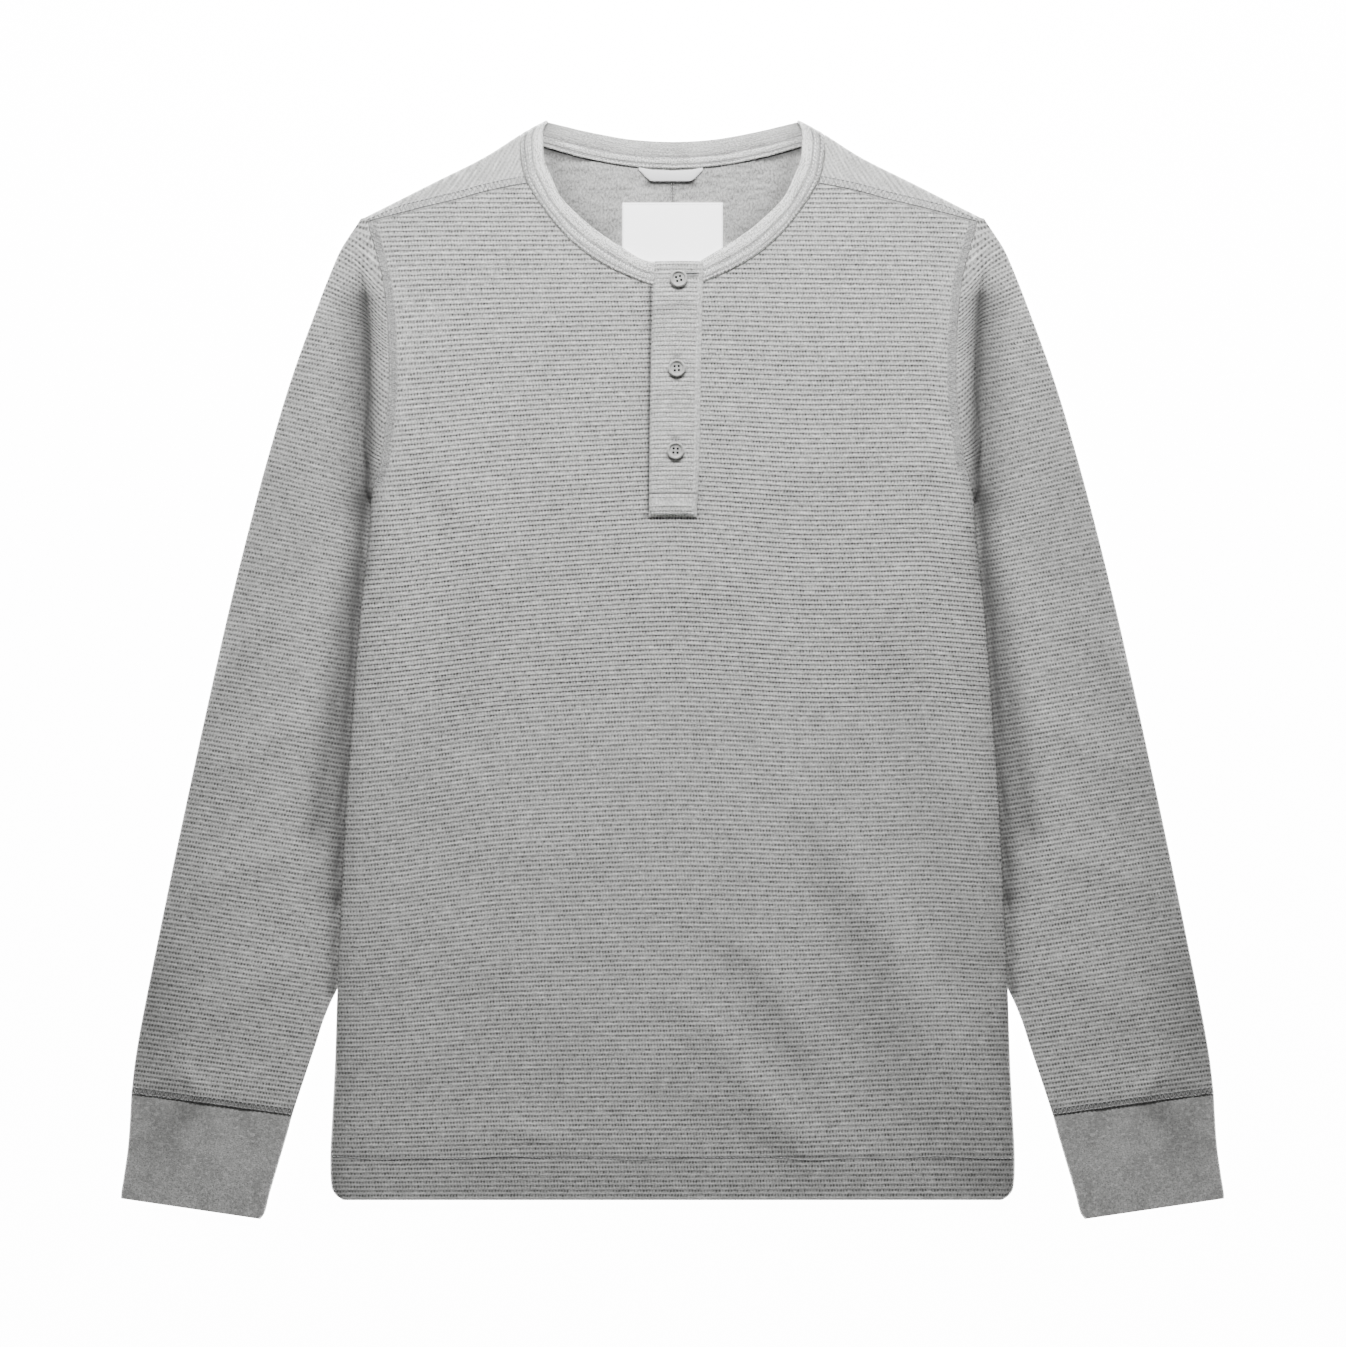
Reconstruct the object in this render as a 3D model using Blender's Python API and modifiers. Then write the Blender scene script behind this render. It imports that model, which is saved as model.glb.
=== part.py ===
"""Long-sleeved henley shirt in fine-ribbed knit, laid flat with its front up.

The shirt lies on z = 0. +X is to its right as seen from above, +Y is towards its collar and +Z points up,
out of its front. Every cloth piece is a closed wall. Sizes are in millimetres and become metres as a mesh is
made.
"""

import math

import bmesh
import bpy
from mathutils import Vector

MM = 0.001

# Cloth
WALL = 1.3  # the knit's thickness
SEAM_GAP = 0.3  # between pieces that are sewn together
LAYER_GAP = 0.4  # between cloth layers that lie on each other
KNIT_RIB = 3.1  # from one rib of the knit to the next
RIB_PITCH = 2 * KNIT_RIB  # every second rib is raised in the walls
RIB_HEIGHT = 0.5
RIB_ARCH = 9.0  # the ribs stand this much higher in the middle of the body than at its sides
ROWS_PER_RIB = 2  # one row in each groove and one on each crest
ROW_STEP = RIB_PITCH / ROWS_PER_RIB
PLAIN_STEP = 8  # a plain inside has a row for each of this many ribbed rows
LEVEL_2 = WALL + LAYER_GAP  # underside of the upper cloth layer
FLAT = 2 * WALL + LAYER_GAP  # a tube pressed flat

# Lengths along +Y, with 0 halfway up the shirt
HEM_Y = -349.8
HEM_STITCH_Y = -322.0
HEM_RAISE = 0.5  # the turned-up hem is thicker
ARMPIT_Y = 118.5
CAP_TOP_Y = 292.0  # top of the armhole seam on the sleeve
SLEEVE_DROP_Y = 107.0  # the sleeve's inner edge is down on the surface here, under the body
SLEEVE_OUT_Y = -214.0  # below this the sleeve lies clear of the body's side
SLOT_BOTTOM_Y = 104.0
PLACKET_BOTTOM_Y = 100.7
PLACKET_TOP_Y = 268.9
APEX_Y = 320.2  # top of the front panel, where the forward seam meets the neck
PLATE_TOP_Y = 272.0  # the back panel's rows follow the ribs up to here

# Lifts
BODY_LIFT = FLAT + RIB_HEIGHT + SEAM_GAP + 0.05  # the body's side lies on the sleeve
SHELF = 4.0  # width at the side that lies level
RAMP = 35.0  # width over which the body comes down again
STRIP_WIDTH = 9.0  # of the sleeve beside the armhole seam, before it drops to the surface
STRIP_AT_ARMPIT = 1.8
VALLEY = 5.0  # width of the sleeve's drop beside the strip
COLLAR_LIFT = 1.4  # the front neck lies on the label
COLLAR_LIFT_NEAR, COLLAR_LIFT_FAR = 45.0, 85.0
NECK_CLEAR = SEAM_GAP + 0.1
NECK_TUCK = 1.0  # the back panel ends this far below the band, under the tape
ARMHOLE_EASE = 0.4  # coarse edges keep this much further from the armhole seam
SHOULDER_NORMAL = (0.448, 0.894)  # out of the shoulder fold, in plan
NECK_BOW = 2.4  # the neck seam bows out by this where the back comes over the shoulder

# Small pieces
TAPE_WALL = 1.0
LABEL_HALF_WIDTH = 33.3
LABEL_Y = (263.0, 307.9)
BUTTON_RADIUS = 5.75
BUTTON_PLACES = ((4.0, 257.4), (2.8, 198.5), (2.0, 144.2))  # x, y
CUFF_ROWS = 7
PLACKET_BASE = FLAT + RIB_HEIGHT + SEAM_GAP  # underside of the placket's top, over the front panel's ribs
PLACKET_BOX_Y = 115.2  # the boxed end reaches up to here
PLACKET_EDGE = 0.6  # its edges are rounded over this width
SLOT_INSET = 2.0  # the cut-out in the front is narrower than the placket by this on each side
BUTTON_SIDES = 18
HOLE_SPACING = 2.2
HOLE_RADIUS = 0.6
BUTTON_PROFILE = (  # radius, height
    (0.0, 1.5), (3.7, 1.5), (4.3, 2.1), (5.1, 2.1), (BUTTON_RADIUS, 1.4), (BUTTON_RADIUS, 0.8), (4.8, 0.0),
    (0.0, 0.0),
)

# Half width of the body: (y, x), from the hem up the side and the armhole seam
SIDE = (
    (-349.8, 218.0), (-347.0, 222.0), (-342.0, 225.0), (-323.7, 226.0), (-294.7, 224.7), (-257.7, 222.8),
    (-205.6, 220.8), (-149.5, 218.1), (-94.1, 215.5), (-38.6, 211.5), (7.6, 208.2), (63.0, 203.0),
    (92.7, 199.7), (118.5, 197.7), (133.0, 193.1), (150.8, 190.4), (168.6, 188.4), (186.5, 187.1),
    (221.4, 187.6), (239.2, 189.1), (257.1, 191.3), (274.6, 195.7), (290.7, 200.3), (295.4, 201.0),
)
# Seam where the back comes over the shoulder to the front: (y, x)
FORWARD_SEAM = (
    (295.4, 201.0), (300.2, 182.5), (304.9, 164.0), (310.4, 140.9), (315.5, 122.4), (320.4, 98.0),
)
# Height of the armhole seam above its flat place: (y, lift)
SEAM_LIFT = (
    (ARMPIT_Y, BODY_LIFT), (135.0, BODY_LIFT), (186.0, 2.6), (230.0, 2.2), (245.0, 1.9), (258.0, 1.1),
    (268.0, 0.3), (274.0, 0.0), (330.0, 0.0),
)
# How far the sleeve's inner edge lies in under the body's side: (y, distance)
TUCK = (
    (-215.0, -1.5), (-208.0, 0.5), (-150.0, 12.0), (-80.0, 21.0), (0.0, 23.0), (50.0, 17.0), (85.0, 6.5),
    (97.0, 2.0), (106.0, -0.4), (ARMPIT_Y, -0.4),
)
# Placket edges: (y, x)
PLACKET_LEFT = ((100.7, -15.5), (158.7, -14.9), (220.1, -13.7), (255.8, -12.5), (268.9, -11.6))
PLACKET_RIGHT = ((100.7, 15.8), (135.6, 17.5), (206.2, 18.8), (241.2, 19.7), (268.9, 20.2))
# Neckband, from its end at the placket to the shoulder fold: (x, y)
BAND_INNER = (
    (11.0, 268.7), (19.5, 270.2), (34.6, 279.2), (49.2, 288.8), (61.7, 299.3), (73.6, 311.9), (80.2, 325.7),
    (84.2, 335.6), (85.3, 347.5), (85.0, 356.0), (82.1, 361.2),
)
BAND_OUTER = (
    (11.0, 252.6), (23.4, 256.7), (41.2, 264.6), (58.1, 275.2), (73.3, 289.1), (87.2, 307.0), (95.1, 320.0),
    (98.4, 329.0), (100.2, 341.6), (100.5, 348.0), (100.0, 351.8),
)
# Back of the neckband, from the shoulder fold to the middle: (x, y)
BACK_INNER = (
    (82.1, 361.2), (73.0, 359.0), (61.1, 356.1), (45.2, 352.8), (29.4, 350.1), (13.5, 348.7), (0.0, 348.2),
)
BACK_OUTER = (
    (100.0, 351.8), (84.0, 348.9), (66.0, 343.8), (47.0, 339.2), (30.0, 336.4), (14.0, 334.9), (0.0, 334.4),
)
# Shoulder fold line, from the neck to the tip: (x, y)
SHOULDER = ((100.9, 351.1), (124.0, 336.4), (155.7, 320.5), (187.2, 304.6), (202.6, 296.9))
# Inside neck tape: (x, y) of its two edges
TAPE_TOP = ((0.0, 338.2), (30.0, 340.2), (60.0, 345.9), (84.5, 352.6))
TAPE_LOW = ((0.0, 330.3), (30.0, 332.2), (60.0, 337.8), (84.5, 344.6))
# Hanger loop outline: (x, y)
LOOP = ((-22.2, 330.6), (-14.9, 322.0), (12.9, 322.0), (19.9, 330.4))
# Sleeve: outer edge (y, x), then its inner edge past the body (y, x)
SLEEVE_OUT = (
    (295.0, 207.4), (279.5, 217.5), (270.3, 222.1), (243.9, 232.7), (191.1, 251.8), (138.3, 267.5),
    (85.5, 281.5), (32.7, 294.3), (-20.1, 306.1), (-72.9, 317.6), (-125.7, 328.8), (-178.5, 339.6),
    (-231.3, 350.1), (-257.7, 354.6), (-279.6, 357.1),
)
SLEEVE_IN = (
    (-294.0, 250.8), (-278.9, 245.9), (-263.0, 240.6), (-247.2, 235.3), (-231.3, 230.2), (-216.0, 223.9),
)
ARMPIT_OUT_Y = 138.0  # place on the outer edge of the rib that ends at the armpit
CAP_LENGTH, ARM_LENGTH = 172.0, 428.0  # along the sleeve, above and below that rib
FOLD_EASE = 1.3  # width over which the sleeve rounds its folds
# Cuff: (share of its length, outer x, outer y, inner x, inner y)
CUFF = (
    (0.0, 357.3, -280.6, 250.9, -294.7), (0.2, 358.0, -296.0, 254.3, -307.0),
    (0.5, 359.4, -315.0, 259.6, -325.0), (0.8, 362.2, -335.0, 265.6, -345.6),
    (0.95, 363.9, -346.0, 269.0, -358.6), (1.0, 363.9, -348.8, 271.8, -362.4),
)


def curve_at(table, at):
    """Value at a position, on a smooth curve through (position, value) rows."""
    rows = sorted(table)
    at = min(max(at, rows[0][0]), rows[-1][0])
    low = max(n for n in range(len(rows) - 1) if rows[n][0] <= at)

    def slope(n):
        before, after = rows[max(n - 1, 0)], rows[min(n + 1, len(rows) - 1)]
        return (after[1] - before[1]) / (after[0] - before[0])

    span = rows[low + 1][0] - rows[low][0]
    t = (at - rows[low][0]) / span
    start, end = rows[low][1], rows[low + 1][1]
    leave, arrive = slope(low) * span, slope(low + 1) * span
    return (
        start * (2 * t**3 - 3 * t**2 + 1) + leave * (t**3 - 2 * t**2 + t)
        + end * (3 * t**2 - 2 * t**3) + arrive * (t**3 - t**2)
    )


def path_at(points, share):
    """Point at a share of a path's length, on a smooth curve through its points."""
    lengths = [0.0]
    for before, after in zip(points, points[1:]):
        lengths.append(lengths[-1] + math.dist(before, after))
    at = share * lengths[-1]
    tables = [list(zip(lengths, values)) for values in zip(*points)]
    return tuple(curve_at(table, at) for table in tables)


def ease(low, high, at):
    """0 at low, 1 at high and smooth between them; low may be the larger."""
    t = min(max((at - low) / (high - low), 0.0), 1.0)
    return t * t * (3 - 2 * t)


def mix(a, b, share):
    """Value between a and b."""
    return a + (b - a) * share


class Wall:
    """Collects the points and faces of one closed cloth wall."""

    def __init__(self):
        self.points = []
        self.faces = []

    def row(self, points):
        """Adds points and returns their numbers."""
        first = len(self.points)
        self.points.extend(points)
        return list(range(first, len(self.points)))

    def net(self, rows):
        """Adds the four-sided faces between rows of equal length."""
        for low, high in zip(rows, rows[1:]):
            for n in range(len(low) - 1):
                self.faces.append((low[n], low[n + 1], high[n + 1], high[n]))

    def zip(self, one, two):
        """Adds triangles between two chains of points that start and end beside each other."""
        shares = []
        for chain in (one, two):
            lengths = [0.0]
            for before, after in zip(chain, chain[1:]):
                lengths.append(lengths[-1] + math.dist(self.points[before], self.points[after]))
            shares.append([length / lengths[-1] for length in lengths])
        a = b = 0
        while a < len(one) - 1 or b < len(two) - 1:
            next_a = shares[0][a + 1] if a < len(one) - 1 else 2.0
            next_b = shares[1][b + 1] if b < len(two) - 1 else 2.0
            if next_a <= next_b:
                self.faces.append((one[a], one[a + 1], two[b]))
                a += 1
            else:
                self.faces.append((two[b + 1], two[b], one[a]))
                b += 1

    def quads(self, one, two):
        """Adds four-sided faces between two chains of equal length."""
        self.net([one, two])

    def build(self, name, material, collection, mirror=False):
        """Makes the object, with its faces pointing out."""
        side = -1.0 if mirror else 1.0
        mesh = bpy.data.meshes.new(name)
        mesh.from_pydata([(side * x * MM, y * MM, z * MM) for x, y, z in self.points], [], self.faces)
        return finish_mesh(mesh, name, material, collection)


def finish_mesh(mesh, name, material, collection):
    """Turns a closed mesh's faces outwards and links an object that shows it."""
    shape = bmesh.new()
    shape.from_mesh(mesh)
    bmesh.ops.recalc_face_normals(shape, faces=shape.faces)
    if shape.calc_volume(signed=True) < 0:
        bmesh.ops.reverse_faces(shape, faces=shape.faces)
    shape.to_mesh(mesh)
    shape.free()
    piece = bpy.data.objects.new(name, mesh)
    mesh.materials.append(material)
    collection.objects.link(piece)
    return piece


def cloth_material(name, colour, roughness=0.95):
    """Plain Principled finish for one piece."""
    material = bpy.data.materials.new(name)
    material.use_nodes = True
    shader = material.node_tree.nodes["Principled BSDF"]
    shader.inputs["Base Color"].default_value = (*colour, 1.0)
    shader.inputs["Roughness"].default_value = roughness
    shader.inputs["Metallic"].default_value = 0.0
    return material


# ---------------------------------------------------------------- the body's form


def side_x(y):
    """Half width of the body, or x of the armhole seam."""
    return curve_at(SIDE, y)


def front_end_x(y):
    """Outer end of the front panel's rib at a height."""
    if y <= FORWARD_SEAM[0][0]:
        return side_x(y)
    return curve_at(FORWARD_SEAM, y)


def side_lift(y):
    """How high the body's side lies, on the sleeve that is tucked under it."""
    if y > ARMPIT_Y:
        return curve_at(SEAM_LIFT, y)
    return BODY_LIFT * ease(SLEEVE_OUT_Y - 60.0, SLEEVE_OUT_Y, y)


def shelf_width(y):
    """Width at the side that lies level on the sleeve."""
    if y > ARMPIT_Y:
        return SHELF
    return max(curve_at(TUCK, y), 0.0) + SHELF


def body_lift(x, y):
    """Height of the body's underside."""
    inward = side_x(y) - abs(x) - shelf_width(y)
    return side_lift(y) * (1.0 - min(max(inward / RAMP, 0.0), 1.0))


def collar_lift(x, y):
    """Extra height of the front neck over the label."""
    return COLLAR_LIFT * ease(COLLAR_LIFT_FAR, COLLAR_LIFT_NEAR, abs(x)) * ease(215.0, 246.0, y)


def neck_seam_table():
    """Front neck seam as (y, x) rows, just outside the neckband's outer edge."""
    points = [path_at(BAND_OUTER, n / 24) for n in range(25)]
    rows = []
    for n, (x, y) in enumerate(points):
        before, after = points[max(n - 1, 0)], points[min(n + 1, 24)]
        along = (after[0] - before[0], after[1] - before[1])
        size = math.hypot(*along)
        rows.append((y - along[0] / size * NECK_CLEAR, x + along[1] / size * NECK_CLEAR))
    return [(SLOT_BOTTOM_Y, 0.0), (rows[0][0] - 6.0, 0.0), *rows]


def front_base(x, y):
    """Height of the front panel's lower layer."""
    return body_lift(x, y) + collar_lift(x, y)


def side_turn(y):
    """1 where the front panel turns down round the side fold, 0 along the armhole seam."""
    return ease(ARMPIT_Y + 10.0, ARMPIT_Y - 12.0, y)


def rib_rise(x, y):
    """How far a rib climbs from the side to a place nearer the middle."""
    size = RIB_ARCH * ease(HEM_Y, -230.0, y) * ease(230.0, 150.0, y)
    return size * ease(200.0, 30.0, abs(x))


def half_columns(end, inner, y):
    """Distances from a rib's outer end: fold, top of the fold, shelf, foot of the ramp and inner end."""
    width = end - inner
    shelf = shelf_width(y) + 1.0
    wanted = (0.0, 1.3, shelf, shelf + RAMP, width)
    most = (0.0, 0.12, 0.3, 0.65, 1.0)
    return [min(d, share * width) for d, share in zip(wanted, most)]


def slot_x(y, right):
    """Edge of the cut-out behind the placket."""
    if right:
        return curve_at(PLACKET_RIGHT, y) - SLOT_INSET
    return -curve_at(PLACKET_LEFT, y) - SLOT_INSET


NECK_SEAM = neck_seam_table()


def front_half(y_rib, side):
    """x, y of one half of a rib's row, from the side to the middle."""
    y_mid = y_rib + rib_rise(0.0, y_rib)
    inner = slot_x(y_mid, side > 0)
    inner = max(inner, curve_at(NECK_SEAM, y_mid))
    end = front_end_x(y_rib)
    places = []
    for distance in half_columns(end, inner, y_rib):
        x = end - distance
        places.append((side * x, y_rib + rib_rise(x, y_rib)))
    return places


def front_outer_row(y_rib, crest):
    """Outside points of one rib's groove or crest, left half then right half."""
    turn = side_turn(y_rib)
    halves = []
    for side in (-1, 1):
        half = []
        for n, (x, y) in enumerate(front_half(y_rib, side)):
            raised = HEM_RAISE * ease(HEM_STITCH_Y + 1.0, HEM_STITCH_Y - 1.0, y) + RIB_HEIGHT * crest
            z = front_base(x, y) + FLAT + raised
            if n == 0:
                z = mix(z, body_lift(x, y), turn)
            half.append((x, y, z))
        halves.append(half)
    return halves[0] + halves[1][::-1]


def front_inner_row(y_rib):
    """Inside points of the front panel at one height."""
    turn = side_turn(y_rib)
    row = []
    for side in (-1, 1):
        half = []
        for n, (x, y) in enumerate(front_half(y_rib, side)):
            z = front_base(x, y) + LEVEL_2
            if n == 0:
                x -= side * mix(ARMHOLE_EASE, WALL, turn)
                z = mix(z, body_lift(x, y), turn)
            elif n == 1:
                x -= side * 0.4 * turn
            half.append((x, y, z))
        row.append(half)
    return row[0] + row[1][::-1]


def make_front(material, collection):
    """Front panel: its ribs are raised, and it is cut out for the neck and behind the placket."""
    count = int((APEX_Y - HEM_Y) / ROW_STEP)
    heights = [HEM_Y + n * ROW_STEP for n in range(count + 1)]
    heights[-1] = APEX_Y
    slot = next(n for n, y in enumerate(heights) if y + rib_rise(0.0, y) > SLOT_BOTTOM_Y)
    neck = next(n for n, y in enumerate(heights) if y > NECK_SEAM[1][0])
    armpit = [n for n, y in enumerate(heights) if ARMPIT_Y - 12.0 < y < ARMPIT_Y + 32.0 and n % 2 == 0]
    plain = sorted(set([*range(0, count, PLAIN_STEP), slot, *armpit, *range(neck, count + 1)]))
    wall = Wall()
    outer = [wall.row(front_outer_row(y, n % ROWS_PER_RIB)) for n, y in enumerate(heights)]
    inner = [wall.row(front_inner_row(heights[n])) for n in plain]
    half = len(outer[0]) // 2
    whole = plain.index(slot)
    wall.net(outer[: slot + 1])
    wall.net(inner[: whole + 1])
    for part in (slice(0, half), slice(half, 2 * half)):
        wall.net([row[part] for row in outer[slot:]])
        wall.net([row[part] for row in inner[whole:]])
        wall.quads(outer[-1][part], inner[-1][part])
    for column in (0, 2 * half - 1):
        wall.zip([row[column] for row in outer], [row[column] for row in inner])
    for column in (half - 1, half):
        wall.zip([row[column] for row in outer[slot:]], [row[column] for row in inner[whole:]])
    wall.quads(outer[0], inner[0])
    wall.quads(outer[slot][half - 1 : half + 1], inner[whole][half - 1 : half + 1])
    return wall.build("front_panel", material, collection)


def shoulder_point(share):
    """x, y on the shoulder fold's base line; 0 at the neck and 1 at the tip."""
    return path_at(SHOULDER, share)


def back_edge_x(y):
    """Half width of the back panel: inside the front's turned side, and at the armhole seam above."""
    turned = ease(ARMPIT_Y + 26.0, ARMPIT_Y + 4.0, y)
    return side_x(y) - mix(ARMHOLE_EASE, WALL + SEAM_GAP + 0.4, turned)


def make_back(material, collection):
    """Back panel: it lies under the front, wraps over each shoulder and ends at the forward seam."""
    step = ROW_STEP * PLAIN_STEP
    heights = [HEM_Y + n * step for n in range(int((PLATE_TOP_Y - HEM_Y) / step) + 1)]
    across = (100.0, 60.0, 20.0)  # columns in the middle, left and right
    shoulder = (1.0, 0.6, 0.25, 0.0)  # columns along the fold, from the tip to the neck
    neck = (80.0, 45.0, 10.0)

    def plate_row(y_rib):
        columns = [back_edge_x(y_rib)]
        shelf = shelf_width(y_rib) + 1.0
        columns += [side_x(y_rib) - shelf, side_x(y_rib) - shelf - RAMP]
        columns += [*across, 0.5 * across[-1]]
        places = [(x, y_rib + rib_rise(x, y_rib)) for x in columns]
        return [(-x, y) for x, y in places] + [(x, y) for x, y in places[::-1]]

    top = [shoulder_point(s) for s in shoulder]
    top += [(x, curve_at([(a, b) for a, b in BACK_OUTER], x) - NECK_TUCK) for x in neck]
    top_row = [(-x, y) for x, y in top] + [(x, y) for x, y in top[::-1]]
    places = [plate_row(y) for y in heights]
    for share in (0.35, 0.7, 1.0):
        row = []
        for (x0, y0), (x1, y1) in zip(places[len(heights) - 1], top_row):
            y = mix(y0, y1, share)
            x = mix(x0, x1, share)
            if share < 1.0 and abs(x0) == abs(places[len(heights) - 1][0][0]):
                x = math.copysign(side_x(y) - ARMHOLE_EASE, x0)
            row.append((x, y))
        places.append(row)
    wall = Wall()
    outside = [wall.row([(x, y, body_lift(x, y)) for x, y in row]) for row in places]
    inside = [wall.row([(x, y, body_lift(x, y) + WALL) for x, y in row]) for row in places]
    wall.net(outside)
    wall.net(inside)
    wraps = len(shoulder)
    last = len(top_row) - 1
    # the wraps, whose columns run from the tip to the neck
    for side in (-1, 1):
        picked = list(range(wraps)) if side < 0 else [last - n for n in range(wraps)]
        out_rows = [[outside[-1][n] for n in picked]]
        in_rows = [[inside[-1][n] for n in picked]]
        fold = [shoulder_point(s) for s in shoulder]
        lift = [body_lift(side * x, y) for x, y in fold]
        for angle in (45.0, 90.0, 135.0, 180.0):
            turn = math.radians(angle)
            for rows, radius in ((out_rows, FLAT / 2), (in_rows, SEAM_GAP / 2)):
                ring = []
                for (x, y), base in zip(fold, lift):
                    reach = radius * math.sin(turn)
                    height = base + FLAT / 2 - radius * math.cos(turn)
                    x_out = x + SHOULDER_NORMAL[0] * reach
                    ring.append((side * x_out, y + SHOULDER_NORMAL[1] * reach, height))
                rows.append(wall.row(ring))
        seam = [mix(96.4, 200.6, s) for s in shoulder]
        seam = [(x, curve_at([(b, a) for a, b in FORWARD_SEAM], x) + SEAM_GAP + 0.1) for x in seam]
        for share in (0.5, 1.0):
            bow = NECK_BOW * math.sin(math.pi * share)
            for rows, top_z in ((out_rows, FLAT), (in_rows, LEVEL_2)):
                ring = []
                for n, ((x0, y0), (x1, y1)) in enumerate(zip(fold, seam)):
                    x, y = mix(x0, x1, share), mix(y0, y1, share)
                    if n == wraps - 1:
                        x += bow
                    ring.append((side * x, y, front_base(x, y) + top_z))
                rows.append(wall.row(ring))
        wall.net(out_rows)
        wall.net(in_rows)
        wall.quads([row[-1] for row in out_rows], [row[-1] for row in in_rows])
        wall.quads([row[0] for row in out_rows], [row[0] for row in in_rows])
        wall.quads(out_rows[-1], in_rows[-1])
    middle = slice(wraps - 1, last - wraps + 2)
    wall.quads(outside[-1][middle], inside[-1][middle])
    wall.quads(outside[0], inside[0])
    for column in (0, last):
        wall.quads([row[column] for row in outside], [row[column] for row in inside])
    return wall.build("back_panel", material, collection)


# ---------------------------------------------------------------- sleeves and cuffs


def sleeve_in_x(y):
    """Inner edge of the sleeve below the armpit, hidden under the body's side or clear of it."""
    if y < SLEEVE_IN[-1][0]:
        return curve_at(SLEEVE_IN, y)
    return side_x(y) - curve_at(TUCK, y)


def edge_path(x_at, y_start, y_end, count):
    """Evenly spaced points on an edge between two heights."""
    raw = [(x_at(mix(y_start, y_end, n / 60)), mix(y_start, y_end, n / 60)) for n in range(61)]
    return [path_at(raw, n / count) for n in range(count + 1)]


def sleeve_ribs():
    """Outer and inner end of every groove and crest, and the number of the one that ends at the armpit."""

    def out_x(y):
        return curve_at(SLEEVE_OUT, y)

    def seam_x(y):
        return side_x(y) + SEAM_GAP + 0.1

    cap = ROWS_PER_RIB * round(CAP_LENGTH / RIB_PITCH)
    arm = ROWS_PER_RIB * round(ARM_LENGTH / RIB_PITCH)
    outer = edge_path(out_x, SLEEVE_OUT[0][0], ARMPIT_OUT_Y, cap)
    outer += edge_path(out_x, ARMPIT_OUT_Y, SLEEVE_OUT[-1][0], arm)[1:]
    inner = edge_path(seam_x, CAP_TOP_Y, ARMPIT_Y, cap)
    inner += edge_path(sleeve_in_x, ARMPIT_Y, SLEEVE_IN[0][0], arm)[1:]
    return outer, inner, cap


def strip_lift(y, in_cap):
    """Height of the sleeve beside the armhole seam; below the armpit it soon drops under the body."""
    if in_cap:
        return curve_at(SEAM_LIFT, y)
    return BODY_LIFT * ease(SLEEVE_DROP_Y, ARMPIT_Y, y)


def sleeve_rows(out_end, in_end, in_cap, crest):
    """Points of a row: outer top, outer under, inner top and inner under, each from the outer edge inwards."""
    (x0, y0), (x1, y1) = out_end, in_end
    width = math.dist(out_end, in_end)
    lift = strip_lift(y1, in_cap)
    strip = mix(STRIP_AT_ARMPIT, STRIP_WIDTH, ease(ARMPIT_Y - 8.0, ARMPIT_Y + 34.0, y1))
    valley = strip + VALLEY
    open_end = 1.0 if in_cap else ease(SLEEVE_DROP_Y, ARMPIT_Y, y1)
    rib = RIB_HEIGHT * crest

    def place(distance, z):
        share = distance / width
        return (mix(x0, x1, share), mix(y0, y1, share), z)

    near = min(FOLD_EASE, 0.15 * width)
    valley_at = width - min(valley, 0.6 * width)
    strip_at = width - min(strip, 0.4 * width)
    end_top = mix(FLAT / 2, FLAT + lift + rib, open_end)
    outer_top = [
        place(0.0, FLAT / 2), place(near, FLAT + rib), place(valley_at, FLAT + rib),
        place(strip_at, FLAT + lift + rib), place(width, end_top),
    ]
    end_under = width - FOLD_EASE * (1.0 - open_end)
    outer_under = [
        place(near, 0.0), place(valley_at, 0.0), place(min(strip_at, end_under - 0.4), lift),
        place(end_under, lift),
    ]
    end_in = width - 1.5 * (1.0 - open_end)
    inside = [near + 0.25, valley_at, min(strip_at, end_in - 0.5), end_in]
    inner_top = [place(d, LEVEL_2 + (lift if n > 1 else 0.0)) for n, d in enumerate(inside)]
    inner_under = [place(d, WALL + (lift if n > 1 else 0.0)) for n, d in enumerate(inside)]
    return outer_top, outer_under, inner_top, inner_under


def make_sleeve(name, mirror, material, collection):
    """Sleeve: a ribbed tube pressed flat, open at the armhole and the cuff, with its ribs raised on top."""
    outer, inner, cap = sleeve_ribs()
    count = len(outer) - 1
    plain = sorted(set(list(range(0, count, PLAIN_STEP)) + [cap, cap + 2, cap + 4, count]))
    wall = Wall()
    top, under, inner_top, inner_under = [], [], [], []
    for n in range(count + 1):
        rows = sleeve_rows(outer[n], inner[n], n <= cap, n % ROWS_PER_RIB)
        top.append(wall.row(rows[0]))
        if n in plain:
            under.append(wall.row(rows[1]))
            inner_top.append(wall.row(rows[2]))
            inner_under.append(wall.row(rows[3]))
    armpit = plain.index(cap)
    for rows in (top, under, inner_top, inner_under):
        wall.net(rows)
    wall.zip([row[0] for row in top], [row[0] for row in under])
    wall.quads([row[0] for row in inner_top], [row[0] for row in inner_under])
    # the fold below the armpit
    wall.zip([row[-1] for row in top[cap:]], [row[-1] for row in under[armpit:]])
    wall.quads([row[-1] for row in inner_top[armpit:]], [row[-1] for row in inner_under[armpit:]])
    # the armhole's rim, top and under
    wall.zip([row[-1] for row in top[: cap + 1]], [row[-1] for row in inner_top[: armpit + 1]])
    wall.quads([row[-1] for row in under[: armpit + 1]], [row[-1] for row in inner_under[: armpit + 1]])
    wall.faces.append((top[cap][-1], under[armpit][-1], inner_under[armpit][-1], inner_top[armpit][-1]))
    # the rim at the shoulder tip
    wall.zip(top[0][::-1] + under[0], inner_top[0][::-1] + inner_under[0])
    # the rim at the cuff, all round
    outside = top[-1] + under[-1][::-1] + top[-1][:1]
    wall.zip(outside, inner_top[-1] + inner_under[-1][::-1] + inner_top[-1][:1])
    return wall.build(name, material, collection, mirror)


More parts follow.
